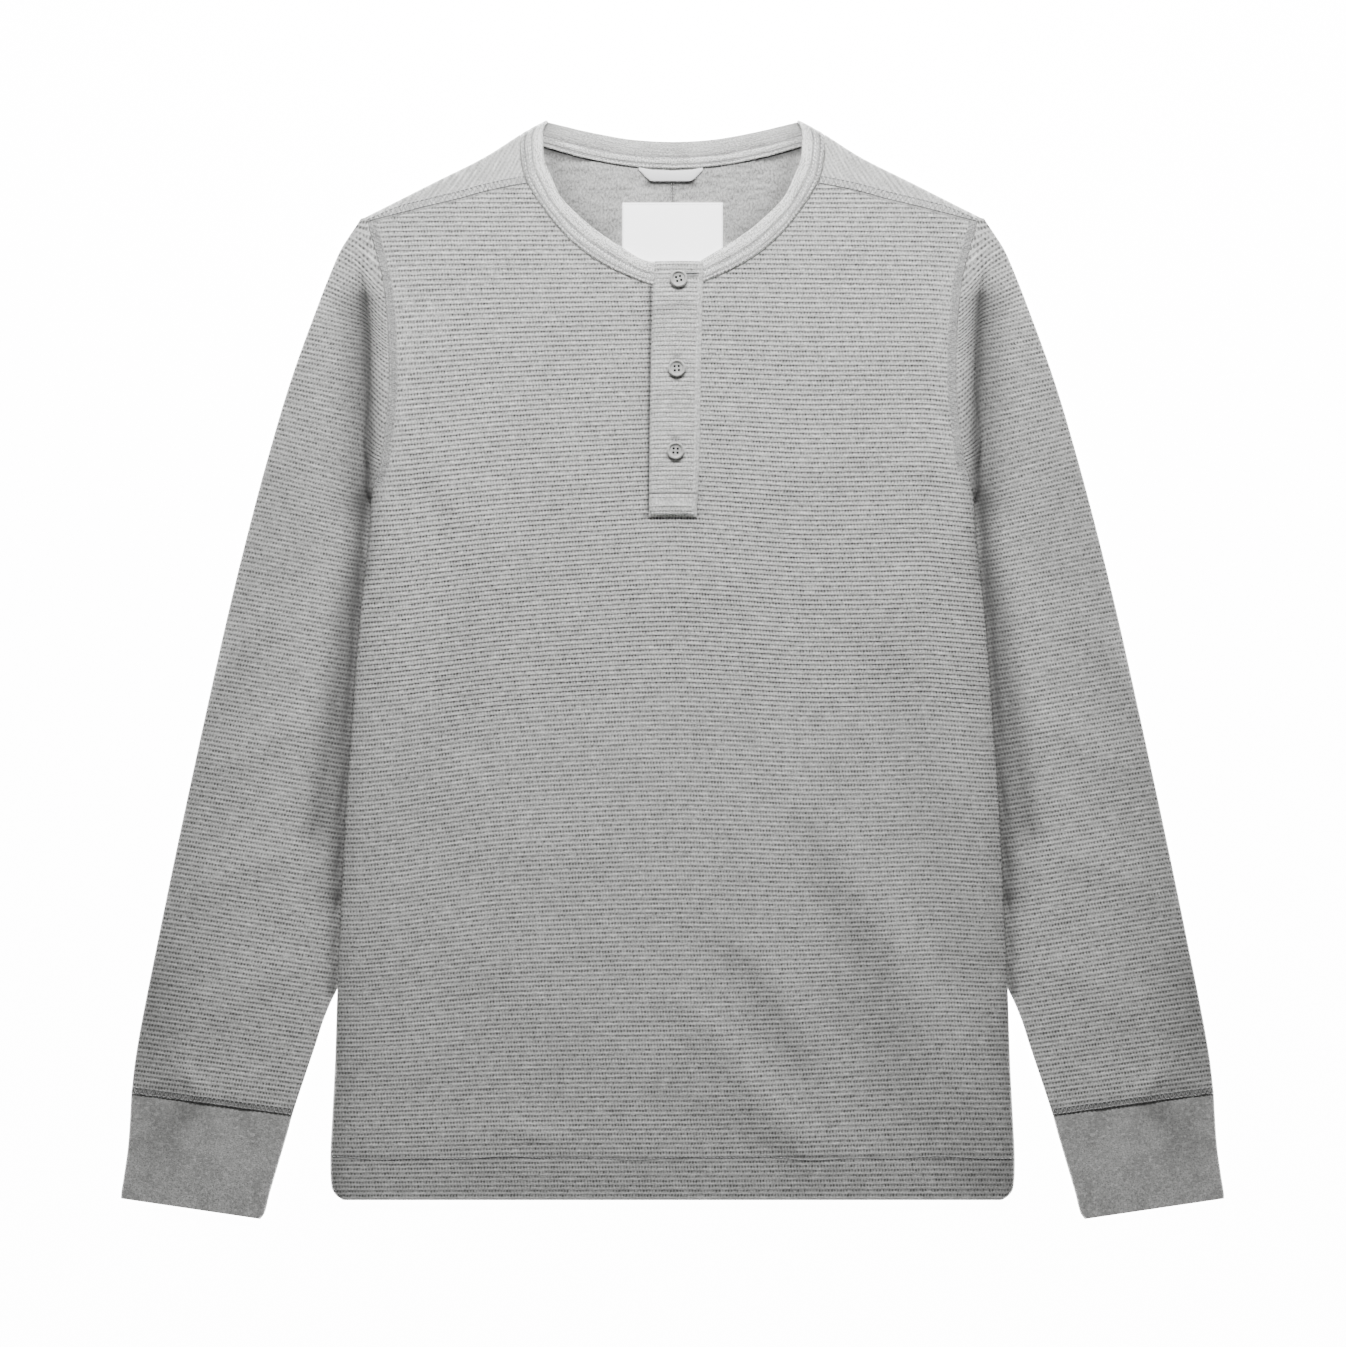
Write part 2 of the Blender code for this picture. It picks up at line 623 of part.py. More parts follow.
def cuff_rings(share, inset):
    """One closed ring of the cuff's outside, or of its inside when inset is a wall's thickness."""
    x0, y0, x1, y1 = (curve_at([(row[0], row[n]) for row in CUFF], share) for n in range(1, 5))
    width = math.dist((x0, y0), (x1, y1))
    low, high, turn = inset, FLAT - inset, 1.2
    ends = ((inset, FLAT / 2), (inset + turn * (1 if inset == 0 else 0.4), high))
    ring = [(d, z) for d, z in ends] + [(0.5 * width, high)]
    ring += [(width - d, z) for d, z in ends[::-1]]
    ring += [(width - ends[1][0], low), (0.5 * width, low), (ends[1][0], low)]
    return [(mix(x0, x1, d / width), mix(y0, y1, d / width), z) for d, z in ring]


def make_cuff(name, mirror, material, collection):
    """Cuff: a plain knit tube pressed flat, open at both ends."""
    wall = Wall()
    rims = []
    for inset in (0.0, WALL):
        rows = []
        for n in range(CUFF_ROWS):
            ring = wall.row(cuff_rings(n / (CUFF_ROWS - 1), inset))
            rows.append(ring + ring[:1])
        wall.net(rows)
        rims.append(rows)
    for end in (0, -1):
        wall.quads(rims[0][end], rims[1][end])
    return wall.build(name, material, collection, mirror)


# ---------------------------------------------------------------- the neck


def strip_section(inner, outer, centre_z, thick, normal):
    """Points round a cloth strip, between its two edges; normal is its outside's direction."""
    corners = (
        (0.0, 0.2), (0.03, 0.5), (0.97, 0.5), (1.0, 0.2), (1.0, -0.2), (0.97, -0.5), (0.03, -0.5),
        (0.0, -0.2),
    )
    points = []
    for share, height in corners:
        x, y = mix(inner[0], outer[0], share), mix(inner[1], outer[1], share)
        rise = height * thick
        points.append((x + normal[0] * rise, y + normal[1] * rise, centre_z + normal[2] * rise))
    return points


def make_neckband(material, collection):
    """Neckband: one strip from the placket round the front, over both shoulder folds and along the back."""
    front_thick, back_thick = 1.7, WALL
    sections = []
    for side in (1, -1):
        half = []
        ends = (BAND_INNER, BAND_OUTER)
        if side > 0:  # the band's end on the placket's other side
            ends = ([(18.4, 269.8), *BAND_INNER[2:]], [(18.4, 254.8), *BAND_OUTER[1:]])
        for n in range(13):
            (xi, yi), (xo, yo) = path_at(ends[0], n / 12), path_at(ends[1], n / 12)
            base = collar_lift(0.5 * (xi + xo), 0.5 * (yi + yo))
            centre = base + LEVEL_2 + front_thick / 2
            half.append(strip_section((side * xi, yi), (side * xo, yo), centre, front_thick, (0, 0, 1)))
        high, low = LEVEL_2 + front_thick / 2, back_thick / 2
        radius = (high - low) / 2
        for angle in (45.0, 90.0, 135.0):
            turn = math.radians(angle)
            out_x, out_y = (part * math.sin(turn) for part in SHOULDER_NORMAL)
            normal = (side * out_x, out_y, math.cos(turn))
            ends_xy = []
            for x, y in (BACK_INNER[0], BACK_OUTER[0]):
                ends_xy.append((side * (x + out_x * radius), y + out_y * radius))
            thick = mix(front_thick, back_thick, angle / 180)
            centre = (high + low) / 2 + radius * math.cos(turn)
            half.append(strip_section(*ends_xy, centre, thick, normal))
        for n in range(8 if side < 0 else 9):
            (xi, yi), (xo, yo) = path_at(BACK_INNER, n / 8), path_at(BACK_OUTER, n / 8)
            half.append(strip_section((side * xi, yi), (side * xo, yo), low, back_thick, (0, 0, -1)))
        sections.append(half)
    wall = Wall()
    rows = []
    for section in sections[0] + sections[1][::-1]:
        ring = wall.row(section)
        rows.append(ring + ring[:1])
    wall.net(rows)
    for end in (rows[0], rows[-1]):
        wall.faces.append(tuple(end[:-1]))
    return wall.build("neckband", material, collection)


def make_tape(material, collection):
    """Neck tape: it covers the back neck seam inside."""
    wall = Wall()
    rows = []
    count = 16
    for n in range(count + 1):
        x = mix(-84.5, 84.5, n / count)
        top, low = curve_at(TAPE_TOP, abs(x)), curve_at(TAPE_LOW, abs(x))
        ring = wall.row(strip_section((x, top), (x, low), LEVEL_2 + TAPE_WALL / 2, TAPE_WALL, (0, 0, 1)))
        rows.append(ring + ring[:1])
    wall.net(rows)
    for end in (rows[0], rows[-1]):
        wall.faces.append(tuple(end[:-1]))
    return wall.build("neck_tape", material, collection)


def make_loop(material, collection):
    """Hanger loop: a short folded strip whose middle stands a little proud of its sewn ends."""
    wall = Wall()
    rows = []
    (x_a, y_a), (x_b, y_b), (x_c, y_c), (x_d, y_d) = LOOP
    ends = ((x_a, 0.0), (mix(x_a, x_b, 0.5), 0.0)), ((mix(x_c, x_d, 0.5), 0.0), (x_d, 0.0))
    for x, rise in (*ends[0], (x_b, 0.7), (0.0, 1.0), (x_c, 0.7), *ends[1]):
        top = curve_at(TAPE_LOW, abs(x)) - SEAM_GAP
        if x < x_b:
            low = mix(y_a - 1.0, y_b, (x - x_a) / (x_b - x_a))
        elif x > x_c:
            low = mix(y_c, y_d - 1.0, (x - x_c) / (x_d - x_c))
        else:
            low = y_b
        top -= 1.3 * rise
        base = LEVEL_2 + 0.9 * rise
        ring = wall.row(strip_section((x, top), (x, low), base + 0.5, 1.0, (0, 0, 1)))
        rows.append(ring + ring[:1])
    wall.net(rows)
    for end in (rows[0], rows[-1]):
        wall.faces.append(tuple(end[:-1]))
    return wall.build("hanger_loop", material, collection)


def make_label(material, collection):
    """Size label: a bare woven patch on the inside of the back."""
    bpy.ops.mesh.primitive_cube_add(size=1.0)
    piece = bpy.context.object
    piece.name = piece.data.name = "label"
    width, height = 2 * LABEL_HALF_WIDTH, LABEL_Y[1] - LABEL_Y[0]
    piece.location = (0.0, (LABEL_Y[0] + LABEL_Y[1]) / 2 * MM, (LEVEL_2 + 0.5) * MM)
    piece.scale = (width * MM, height * MM, 1.0 * MM)
    bpy.ops.object.transform_apply(location=True, rotation=False, scale=True)
    bevel = piece.modifiers.new("edge", "BEVEL")
    bevel.width = 0.25 * MM
    bevel.segments = 1
    piece.data.materials.append(material)
    for holder in list(piece.users_collection):
        holder.objects.unlink(piece)
    collection.objects.link(piece)
    return piece


# ---------------------------------------------------------------- placket and buttons


def placket_x(y, right):
    """Edge of the placket."""
    return curve_at(PLACKET_RIGHT if right else PLACKET_LEFT, y)


def make_placket_top(material, collection):
    """Buttonhole side of the placket: ribbed across, with a plain boxed end at its foot."""
    count = ROWS_PER_RIB * round((PLACKET_TOP_Y - PLACKET_BOTTOM_Y) / RIB_PITCH)
    heights = [mix(PLACKET_BOTTOM_Y, PLACKET_TOP_Y, n / count) for n in range(count + 1)]
    plain = sorted(set(list(range(0, count, PLAIN_STEP)) + [count]))
    wall = Wall()
    outer, inner = [], []
    for n, y in enumerate(heights):
        left, right = placket_x(y, False), placket_x(y, True)
        base = front_base(0.0, y) + PLACKET_BASE
        boxed = y < PLACKET_BOX_Y
        relief = 0.3 if boxed else RIB_HEIGHT * (n % ROWS_PER_RIB)
        top = base + WALL + relief
        edge = base + WALL / 2
        row = ((left, edge), (left + PLACKET_EDGE, top), (right - PLACKET_EDGE, top), (right, edge))
        outer.append(wall.row([(x, y, z) for x, z in row]))
        if n in plain:
            inner.append(wall.row([(left, y, base), (right, y, base)]))
    wall.net(outer)
    wall.net(inner)
    wall.zip([row[0] for row in outer], [row[0] for row in inner])
    wall.zip([row[-1] for row in outer], [row[-1] for row in inner])
    for end in (0, -1):
        wall.faces.append((*outer[end], inner[end][1], inner[end][0]))
    return wall.build("placket_top", material, collection)


def make_placket_under(material, collection):
    """Button side of the placket: a plain strip that fills the front's cut-out."""
    start = SLOT_BOTTOM_Y + SLOT_INSET
    wall = Wall()
    rows = []
    count = 8
    for n in range(count + 1):
        y = mix(start, PLACKET_TOP_Y - 0.6, n / count)
        left = placket_x(y, False) + SLOT_INSET + SEAM_GAP
        right = placket_x(y, True) - SLOT_INSET - SEAM_GAP
        base = front_base(0.0, y) + LEVEL_2
        ring = wall.row([(left, y, base), (left, y, base + WALL), (right, y, base + WALL), (right, y, base)])
        rows.append(ring + ring[:1])
    wall.net(rows)
    for end in (rows[0], rows[-1]):
        wall.faces.append(tuple(end[:-1]))
    return wall.build("placket_under", material, collection)


def make_button(name, x, y, material, collection, cutters):
    """Button: turned with a raised rim, with four thread holes."""
    mesh = bpy.data.meshes.new(name)
    edges = [(n, n + 1) for n in range(len(BUTTON_PROFILE) - 1)]
    mesh.from_pydata([(r * MM, 0.0, z * MM) for r, z in BUTTON_PROFILE], edges, [])
    piece = bpy.data.objects.new(name, mesh)
    mesh.materials.append(material)
    collection.objects.link(piece)
    base = front_base(0.0, y) + PLACKET_BASE + WALL + RIB_HEIGHT + SEAM_GAP
    piece.location = Vector((x, y, base)) * MM
    turned = piece.modifiers.new("turned", "SCREW")
    turned.axis = "Z"
    turned.steps = turned.render_steps = BUTTON_SIDES
    turned.use_merge_vertices = True
    turned.merge_threshold = 0.00001
    for number, (hole_x, hole_y) in enumerate(((1, 1), (-1, 1), (-1, -1), (1, -1))):
        place = piece.location + Vector((hole_x, hole_y, 0.0)) * (HOLE_SPACING / 2 * MM)
        bpy.ops.mesh.primitive_cylinder_add(
            vertices=6, radius=HOLE_RADIUS * MM, depth=8 * MM, location=place,
        )
        cutter = bpy.context.object
        cutter.name = f"{name}_hole_{number}"
        cutter.hide_render = True
        cutter.display_type = "WIRE"
        for holder in list(cutter.users_collection):
            holder.objects.unlink(cutter)
        cutters.objects.link(cutter)
        cut = piece.modifiers.new(f"hole_{number}", "BOOLEAN")
        cut.operation = "DIFFERENCE"
        cut.solver = "EXACT"
        cut.object = cutter
    return piece


def main():
    """Clears the scene's objects and makes every piece of the shirt."""
    for thing in list(bpy.data.objects):
        bpy.data.objects.remove(thing)
    shirt = bpy.data.collections.new("henley_shirt")
    cutters = bpy.data.collections.new("cutters")
    for collection in (shirt, cutters):
        bpy.context.scene.collection.children.link(collection)

    rib_knit = cloth_material("rib_knit", (0.40, 0.40, 0.39))
    jersey = cloth_material("jersey", (0.46, 0.46, 0.455))
    cuff_knit = cloth_material("cuff_knit", (0.27, 0.27, 0.265))
    twill = cloth_material("twill", (0.72, 0.72, 0.72))
    woven = cloth_material("woven", (0.80, 0.80, 0.81), 0.7)
    button_plastic = cloth_material("button_plastic", (0.45, 0.45, 0.44), 0.35)

    make_back(rib_knit, shirt)
    make_front(rib_knit, shirt)
    for name, mirror in (("left", True), ("right", False)):
        make_sleeve(f"sleeve_{name}", mirror, rib_knit, shirt)
        make_cuff(f"cuff_{name}", mirror, cuff_knit, shirt)
    make_neckband(jersey, shirt)
    make_tape(jersey, shirt)
    make_loop(twill, shirt)
    make_label(woven, shirt)
    make_placket_under(rib_knit, shirt)
    make_placket_top(rib_knit, shirt)
    for number, (x, y) in enumerate(BUTTON_PLACES, start=1):
        make_button(f"button_{number}", x, y, button_plastic, shirt, cutters)


main()
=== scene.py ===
"""Dresses the flat-laid henley shirt: ribbed cloth, sewing, buttons, floor, light and camera.

Sizes are in millimetres, and become metres as a mesh is made. The shirt lies on z = 0 with its front up,
+X to the right as seen from above and +Y towards its collar.
"""

import logging
import math
from collections.abc import Callable, Sequence
from dataclasses import dataclass, field
from enum import Enum
from functools import partial
from itertools import pairwise
from typing import Any

import bmesh
import bpy
from mathutils import Euler, Matrix, Vector


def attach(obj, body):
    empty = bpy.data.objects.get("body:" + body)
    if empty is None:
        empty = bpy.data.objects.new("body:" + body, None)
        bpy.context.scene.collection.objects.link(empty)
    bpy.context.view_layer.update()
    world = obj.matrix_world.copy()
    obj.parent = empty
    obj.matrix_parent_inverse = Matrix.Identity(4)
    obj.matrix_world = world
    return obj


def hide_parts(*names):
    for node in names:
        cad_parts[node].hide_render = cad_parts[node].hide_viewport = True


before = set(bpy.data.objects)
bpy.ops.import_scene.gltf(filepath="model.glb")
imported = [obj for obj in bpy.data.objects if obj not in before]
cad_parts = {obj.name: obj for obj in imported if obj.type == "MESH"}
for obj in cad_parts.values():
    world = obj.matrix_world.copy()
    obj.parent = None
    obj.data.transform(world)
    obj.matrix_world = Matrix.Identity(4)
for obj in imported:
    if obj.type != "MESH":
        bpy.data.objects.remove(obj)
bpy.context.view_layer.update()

log = logging.getLogger("shirt")

Object = bpy.types.Object
Material = bpy.types.Material
Spot = tuple[float, float]  # x, y
Point = tuple[float, float, float]
Mark = tuple[float, float]  # on the cloth's pattern
Table = Sequence[Sequence[float]]
Shade = tuple[tuple[Spot, ...], float, float]  # places, width, depth
Net = Sequence[Sequence[int]]  # rows of points' numbers

MM = 0.001
WALL = 1.3  # the knit's thickness
SEAM_GAP = 0.3
SEAM_CLOSE = -0.2  # between sewn pieces whose edges roll down into the seam
LAYER_GAP = 0.4
RIB = 3.1  # from one rib of the knit to the next
RIB_HEIGHT = 0.5
RIB_RELIEF = 0.44  # of the knit's single ribs
LEVEL_2 = WALL + LAYER_GAP  # underside of the upper cloth layer
FLAT = 2 * WALL + LAYER_GAP  # a tube pressed flat
HEM_Y = -349.8
HEM_STITCH_Y = -322
HEM_RAISE = 0.5
ARMPIT_Y = 118.5
ARMPIT_OUT_Y = 138  # on the sleeve's outer edge, across from the armpit
SLEEVE_DROP_Y = 107  # the sleeve's inner edge is down on the surface here
SLEEVE_OUT_Y = -214  # below this the sleeve lies clear of the body's side
CAP_TOP_Y = 298.4
SLOT_BOTTOM_Y = 104
SLOT_INSET = 2  # the cut-out in the front is this much narrower than the placket
PLACKET_BOTTOM_Y = 100.7
PLACKET_TOP_Y = 268.9
PLACKET_BOX_Y = 115.2
PLACKET_BASE = FLAT + RIB_HEIGHT + SEAM_GAP
APEX_Y = 320.2  # top of the front, where the forward seam meets the neck
BODY_LIFT = PLACKET_BASE + 0.05  # the body's side lies on the sleeve
SHELF = 4  # width at the side that lies level
RAMP = 35  # width over which the body comes down again
STRIP = 11.4  # of the sleeve beside the armhole seam
COLLAR_LIFT = 1.4
NECK_CLEAR = SEAM_GAP + 0.1
NECK_TUCK = 1
ARMHOLE_EASE = 0.4
TAPE_WALL = 1
LABEL_HALF_WIDTH = 33.3
LABEL_Y = (263, 307.9)
BUTTON_PLACES = ((4, 257.4), (2.8, 198.5), (2, 144.2))
SHOULDER_AWAY = (0.448, 0.894)  # direction out over the shoulder fold
BOTH = (-1, 1)  # the shirt's two sides

# Half width of the body: (y, x), from the hem up the side and the armhole seam
SIDE = (
    (-349.8, 218), (-347, 222), (-342, 225), (-323.7, 226), (-294.7, 224.7), (-257.7, 222.8), (-205.6, 220.8),
    (-149.5, 218.1), (-94.1, 215.5), (-38.6, 211.5), (7.6, 208.2), (63, 203), (92.7, 199.7), (118.5, 197.7),
    (133, 193.1), (150.8, 190.4), (168.6, 188.4), (186.5, 187.1), (221.4, 187.6), (239.2, 189.1),
    (257.1, 191.3), (274.6, 195.7), (290.7, 200.3), (295.4, 201),
)
# Seam where the back comes over the shoulder to the front: (y, x)
FORWARD_SEAM = ((295.4, 201), (300.2, 182.5), (304.9, 164), (310.4, 140.9), (315.5, 122.4), (320.4, 98))
# Height of the armhole seam: (y, lift)
SEAM_LIFT = (
    (ARMPIT_Y, BODY_LIFT), (135, BODY_LIFT), (186, 2.6), (230, 2.2), (245, 1.9), (258, 1.1), (268, 0.3),
    (274, 0), (330, 0),
)
# How far the sleeve's inner edge lies in under the body's side: (y, distance)
TUCK = (
    (-215, -1.5), (-208, 0.5), (-150, 12), (-80, 21), (0, 23), (50, 17), (85, 9), (97, 5.6), (106, 2.8),
    (113, 0.5), (ARMPIT_Y, 0),
)
# Placket edges, each from the middle: (y, distance)
PLACKET_LEFT = ((100.7, 15.5), (158.7, 14.9), (220.1, 13.7), (255.8, 12.5), (268.9, 11.6))
PLACKET_RIGHT = ((100.7, 15.8), (135.6, 17.5), (206.2, 18.8), (241.2, 19.7), (268.9, 20.2))
# Neckband, from its end at the placket to the shoulder fold: (x, y)
BAND_INNER = (
    (11, 268.7), (19.5, 270.2), (34.6, 279.2), (49.2, 288.8), (61.7, 299.3), (73.6, 311.9), (80.2, 325.7),
    (84.2, 335.6), (85.3, 347.5), (85, 356), (82.1, 361.2),
)
BAND_OUTER = (
    (11, 252.6), (23.4, 256.7), (41.2, 264.6), (58.1, 275.2), (73.3, 289.1), (87.2, 307), (95.1, 320),
    (98.4, 329), (100.2, 341.6), (100.5, 348), (100, 351.8),
)
# Its two edges on each side; on the right it ends beside the placket
BAND_EDGES = {
    -1: (BAND_INNER, BAND_OUTER),
    1: (((18.4, 269.8), *BAND_INNER[2:]), ((18.4, 254.8), *BAND_OUTER[1:])),
}
# Back of the neckband, from the shoulder fold to the middle: (x, y)
BACK_INNER = (
    (82.1, 361.2), (73, 359), (61.1, 356.1), (45.2, 352.8), (29.4, 350.1), (13.5, 348.7), (0, 348.2),
)
BACK_OUTER = ((100, 351.8), (84, 348.9), (66, 343.8), (47, 339.2), (30, 336.4), (14, 334.9), (0, 334.4))
SHOULDER = ((99.9, 351.7), (124, 336.4), (155.7, 320.5), (187.2, 304.6), (202.6, 296.9))  # fold: (x, y)
TAPE_TOP = ((0, 338.2), (30, 340.2), (60, 345.9), (84.5, 352.6))
TAPE_LOW = ((0, 330.3), (30, 332.2), (60, 337.8), (84.5, 344.6))
LOOP = ((-22.2, 330.6), (-14.9, 322), (12.9, 322), (19.9, 330.4))
# Sleeve's outer edge, and its inner edge where it is clear of the body: (y, x)
SLEEVE_OUT = (
    (297.4, 205.6), (279.5, 217.5), (270.3, 222.1), (243.9, 232.7), (191.1, 251.8), (138.3, 267.5),
    (85.5, 281.5), (32.7, 294.3), (-20.1, 306.1), (-72.9, 317.6), (-125.7, 328.8), (-178.5, 339.6),
    (-231.3, 350.1), (-257.7, 354.6), (-279.6, 357.1),
)
SLEEVE_IN = ((-294, 250.8), (-278.9, 245.9), (-263, 240.6), (-247.2, 235.3), (-231.3, 230.2), (-216, 223.9))
# Cuff: (share of its length, outer x, outer y, inner x, inner y)
CUFF = (
    (0, 357.15, -279.65, 250.82, -294.05), (0.2, 358, -296, 254.3, -307), (0.5, 359.4, -315, 259.6, -325),
    (0.8, 362.2, -335, 265.6, -345.6), (0.95, 363.9, -346, 269, -358.6), (1, 363.9, -348.8, 271.8, -362.4),
)

# How far a front rib stands above its height at the middle, at some x and y: one row for each y
RISE_X = (-205, -178, -160, -112, -45, 0, 35, 85, 130, 165, 178, 205)
RISE = {
    320: (0,) * 12,
    265: (-2, -1.2, -0.6, -0.2, 0, 0, 0, -0.2, -0.6, -1, -1.6, -3),
    190: (-10.5, -9, -7.5, -3.6, -0.8, 0, -0.8, -2.4, -2.2, -2.2, -3.2, -5.4),
    110: (-15.5, -13.6, -11.4, -6.4, -2, 0, -1.6, -4.6, -4.2, -3.6, -4.6, -7.4),
    30: (-17, -14.4, -12.2, -6.6, -1.8, 0, -1.4, -4.2, -4.2, -3.4, -4.2, -6.4),
    -60: (-16.5, -13.6, -11, -5, -1.2, 0, -0.8, -2.8, -2.6, -1.8, -2.4, -4.2),
    -150: (-14, -11.4, -9, -3.6, -0.8, 0, -0.4, -1.2, -0.4, 0.8, 0.6, -0.8),
    -250: (-7, -5.6, -4.4, -1.6, -0.4, 0, 0.4, 2.2, 4.6, 6.4, 6.8, 6),
    -350: (0,) * 12,
}

# Soft folds: start x, y, end x, y, half width and height
BODY_FOLDS = (
    (14, -228, 92, -320, 15, 2.9), (44, -178, 96, -254, 14, 2.1), (98, -110, 172, -240, 20, 1.9),
    (150, -226, 172, -290, 15, 1.6), (131, -142, 192, -268, 16, 1.6), (-110, -300, -72, -312, 9, 1.2),
    (-150, -60, -95, -128, 24, 1.2), (-30, 40, 48, 66, 26, 0.9), (58, 118, 132, 150, 24, 0.9),
    (-160, 150, -118, 78, 20, 1.2), (166, 150, 138, 84, 19, 1.1), (-42, 90, -30, 52, 12, 0.8),
    (-184, -150, -176, -270, 14, 1), (-150, -180, -60, -236, 22, 1),
)
SLEEVE_FOLDS = (
    (262, 42, 300, -8, 16, 1.8), (246, -34, 296, -62, 15, 1.6), (262, -118, 318, -150, 14, 1.4),
    (322, -262, 312, -282, 7, 1.3), (276, -262, 284, -288, 7, 1.1), (222, 206, 236, 150, 12, 1),
    (250, -190, 300, -226, 15, 1.4),
)

# Soft shadow beside edges and creases
SLEEVE_SHADES: tuple[Shade, ...] = (
    (((205, 262), (203.6, 246)), 4, 0.3),
    (((203.2, 246), (201.8, 215), (200.6, 180), (200.2, 150), (201, 118)), 4.8, 0.84),
    (((207, 240), (206.4, 200), (206, 112)), 15, 0.6),
    (((203.2, 112), (206.5, 63), (211, 7.6), (214.6, -38.6), (218.6, -94.1), (221.3, -149.5)), 4.6, 0.8),
    (((205, 112), (213, 50), (226, -35), (236, -105)), 9, 0.5),
    (((209, 63), (218.6, -38.6), (222.6, -94.1), (224.3, -149.5)), 11, 0.34),
    (((221.3, -149.5), (224, -212)), 4, 0.7),
    (((256, 190), (284, 80), (312, -40), (334, -140), (346, -230)), 34, 0.2),
    (((240, 130), (262, 40)), 24, 0.1),
    (((326, -60), (342, -130), (350, -210)), 14, 0.16),
    (((345, -210), (352, -262)), 24, 0.26),
    (((332, -274), (322, -282)), 8, 0.26),
    (((356, -279.6), (300, -287), (250, -293.7)), 5.2, 0.34),
)
FRONT_SIDE_SHADES: tuple[Shade, ...] = (  # the same on both sides
    (((199, 142), (200.5, 106), (205, 64)), 7, 0.66),
    (((207, 60), (214, -38), (221, -150), (225, -343)), 9, 0.32),
    (((208, 70), (216, -60), (225, -343)), 26, 0.16),
)
FRONT_SHADES: tuple[Shade, ...] = (
    (((-14.4, 262), (-14.9, 220), (-15.6, 160), (-16, 101)), 1.1, 0.82),
    (((-15.4, 262), (-16.4, 101)), 2.6, 0.22),
    (((15.4, 250), (16.6, 101)), 1, 0.35),
    (((34, -178), (60, -214), (82, -258)), 12, 0.18),
    (((-8, -280), (30, -294), (64, -313)), 11, 0.14),
    (((90, -100), (128, -190), (164, -262)), 14, 0.2),
    (((112, -212), (150, -280), (196, -334)), 16, 0.16),
    (((142, 20), (172, -90), (186, -190)), 22, 0.15),
    (((192, -290), (204, -330)), 20, 0.2),
    (((-130, 20), (-168, -90)), 24, 0.08),
    *((tuple((way * x, y) for x, y in places), width, depth)
      for places, width, depth in FRONT_SIDE_SHADES for way in BOTH),
    (((-226, -343), (226, -343)), 24, 0.16),
    (((-226, -321.4), (-150, -322.6), (-75, -321.2), (0, -322.4), (90, -321.4), (226, -322.6)), 1.3, 0.55),
)
CUFF_SHADES: tuple[Shade, ...] = (
    (((318, -291), (330, -298), (342, -318)), 13, 0.3),
    (((250, -296), (357, -283)), 15, 0.14),
    (((250, -294), (357, -280)), 3, 0.25),
)
INSIDE_SHADES: tuple[Shade, ...] = (
    (((-84, 343.4), (-60, 336.4), (-30, 330.6), (0, 328.8), (30, 330.6), (60, 336.4), (84, 343.4)),
     2.8, 0.85),
    *((((way * 80, 340), (way * 77, 322), (way * 66, 303), (way * 46, 286)), 8, 0.42) for way in BOTH),
    (((-16, 320.8), (14, 320.8)), 2.6, 0.7),
    (((0, 320), (0, 308)), 1.1, 0.6),
)
PLACKET_SHADES: tuple[Shade, ...] = (
    (((-16, 116.2), (17, 116.2)), 0.9, 0.6),
    (((9.6, 260.4), (13.6, 260)), 2, 0.72),
    (((1.4, 207.2), (4.6, 207.2)), 1.7, 0.42),
    (((0.2, 152.6), (3.4, 152.6)), 1.7, 0.42),
    (((-12, 236), (-1, 238), (8, 240)), 5, 0.22),
    *((((x - 5.4, y - 1.6), (x - 3.6, y - 4.9), (x, y - 6.4), (x + 3.6, y - 4.9), (x + 5.4, y - 1.6)),
       1.5, 0.42) for x, y in BUTTON_PLACES),
    *((((x - 4.4, y + 3.8), (x, y + 6), (x + 4.4, y + 3.8)), 1.2, 0.25) for x, y in BUTTON_PLACES),
)


def mix(a: float, b: float, share: float) -> float:
    """Value between a and b."""
    return a + (b - a) * share


def between(one: Sequence[float], two: Sequence[float], share: float) -> Spot:
    """Place between two places."""
    return mix(one[0], two[0], share), mix(one[1], two[1], share)


def ease(low: float, high: float, at: float) -> float:
    """0 at low, 1 at high and smooth between them; low may be the larger."""
    t = min(max((at - low) / (high - low), 0), 1)
    return t * t * (3 - 2 * t)


def curve_at(table: Table, at: float) -> float:
    """Value at a position, on a smooth curve through (position, value) rows.

    Args:
        table: The rows, in any order.
        at: The position, held inside the table.

    Returns:
        The value there.
    """
    rows = sorted(table)
    at = min(max(at, rows[0][0]), rows[-1][0])
    low = max(n for n in range(len(rows) - 1) if rows[n][0] <= at)

    def slope(n: int) -> float:
        """Slope of the curve at one row."""
        before, after = rows[max(n - 1, 0)], rows[min(n + 1, len(rows) - 1)]
        return (after[1] - before[1]) / (after[0] - before[0])

    span = rows[low + 1][0] - rows[low][0]
    t = (at - rows[low][0]) / span
    start, end = rows[low][1], rows[low + 1][1]
    leave, arrive = slope(low) * span, slope(low + 1) * span
    return (
        start * (2 * t**3 - 3 * t**2 + 1) + leave * (t**3 - 2 * t**2 + t)
        + end * (3 * t**2 - 2 * t**3) + arrive * (t**3 - t**2)
    )


def distances(points: Sequence[Sequence[float]]) -> list[float]:
    """How far each point lies along the chain of points."""
    lengths = [0.0]
    for before, after in pairwise(points):
        lengths.append(lengths[-1] + math.dist(before, after))
    return lengths


def path_at(points: Table, share: float) -> tuple[float, ...]:
    """Point at a share of a path's length, on a smooth curve through its points."""
    lengths = distances(points)
    return tuple(curve_at(list(zip(lengths, axis)), share * lengths[-1]) for axis in zip(*points))


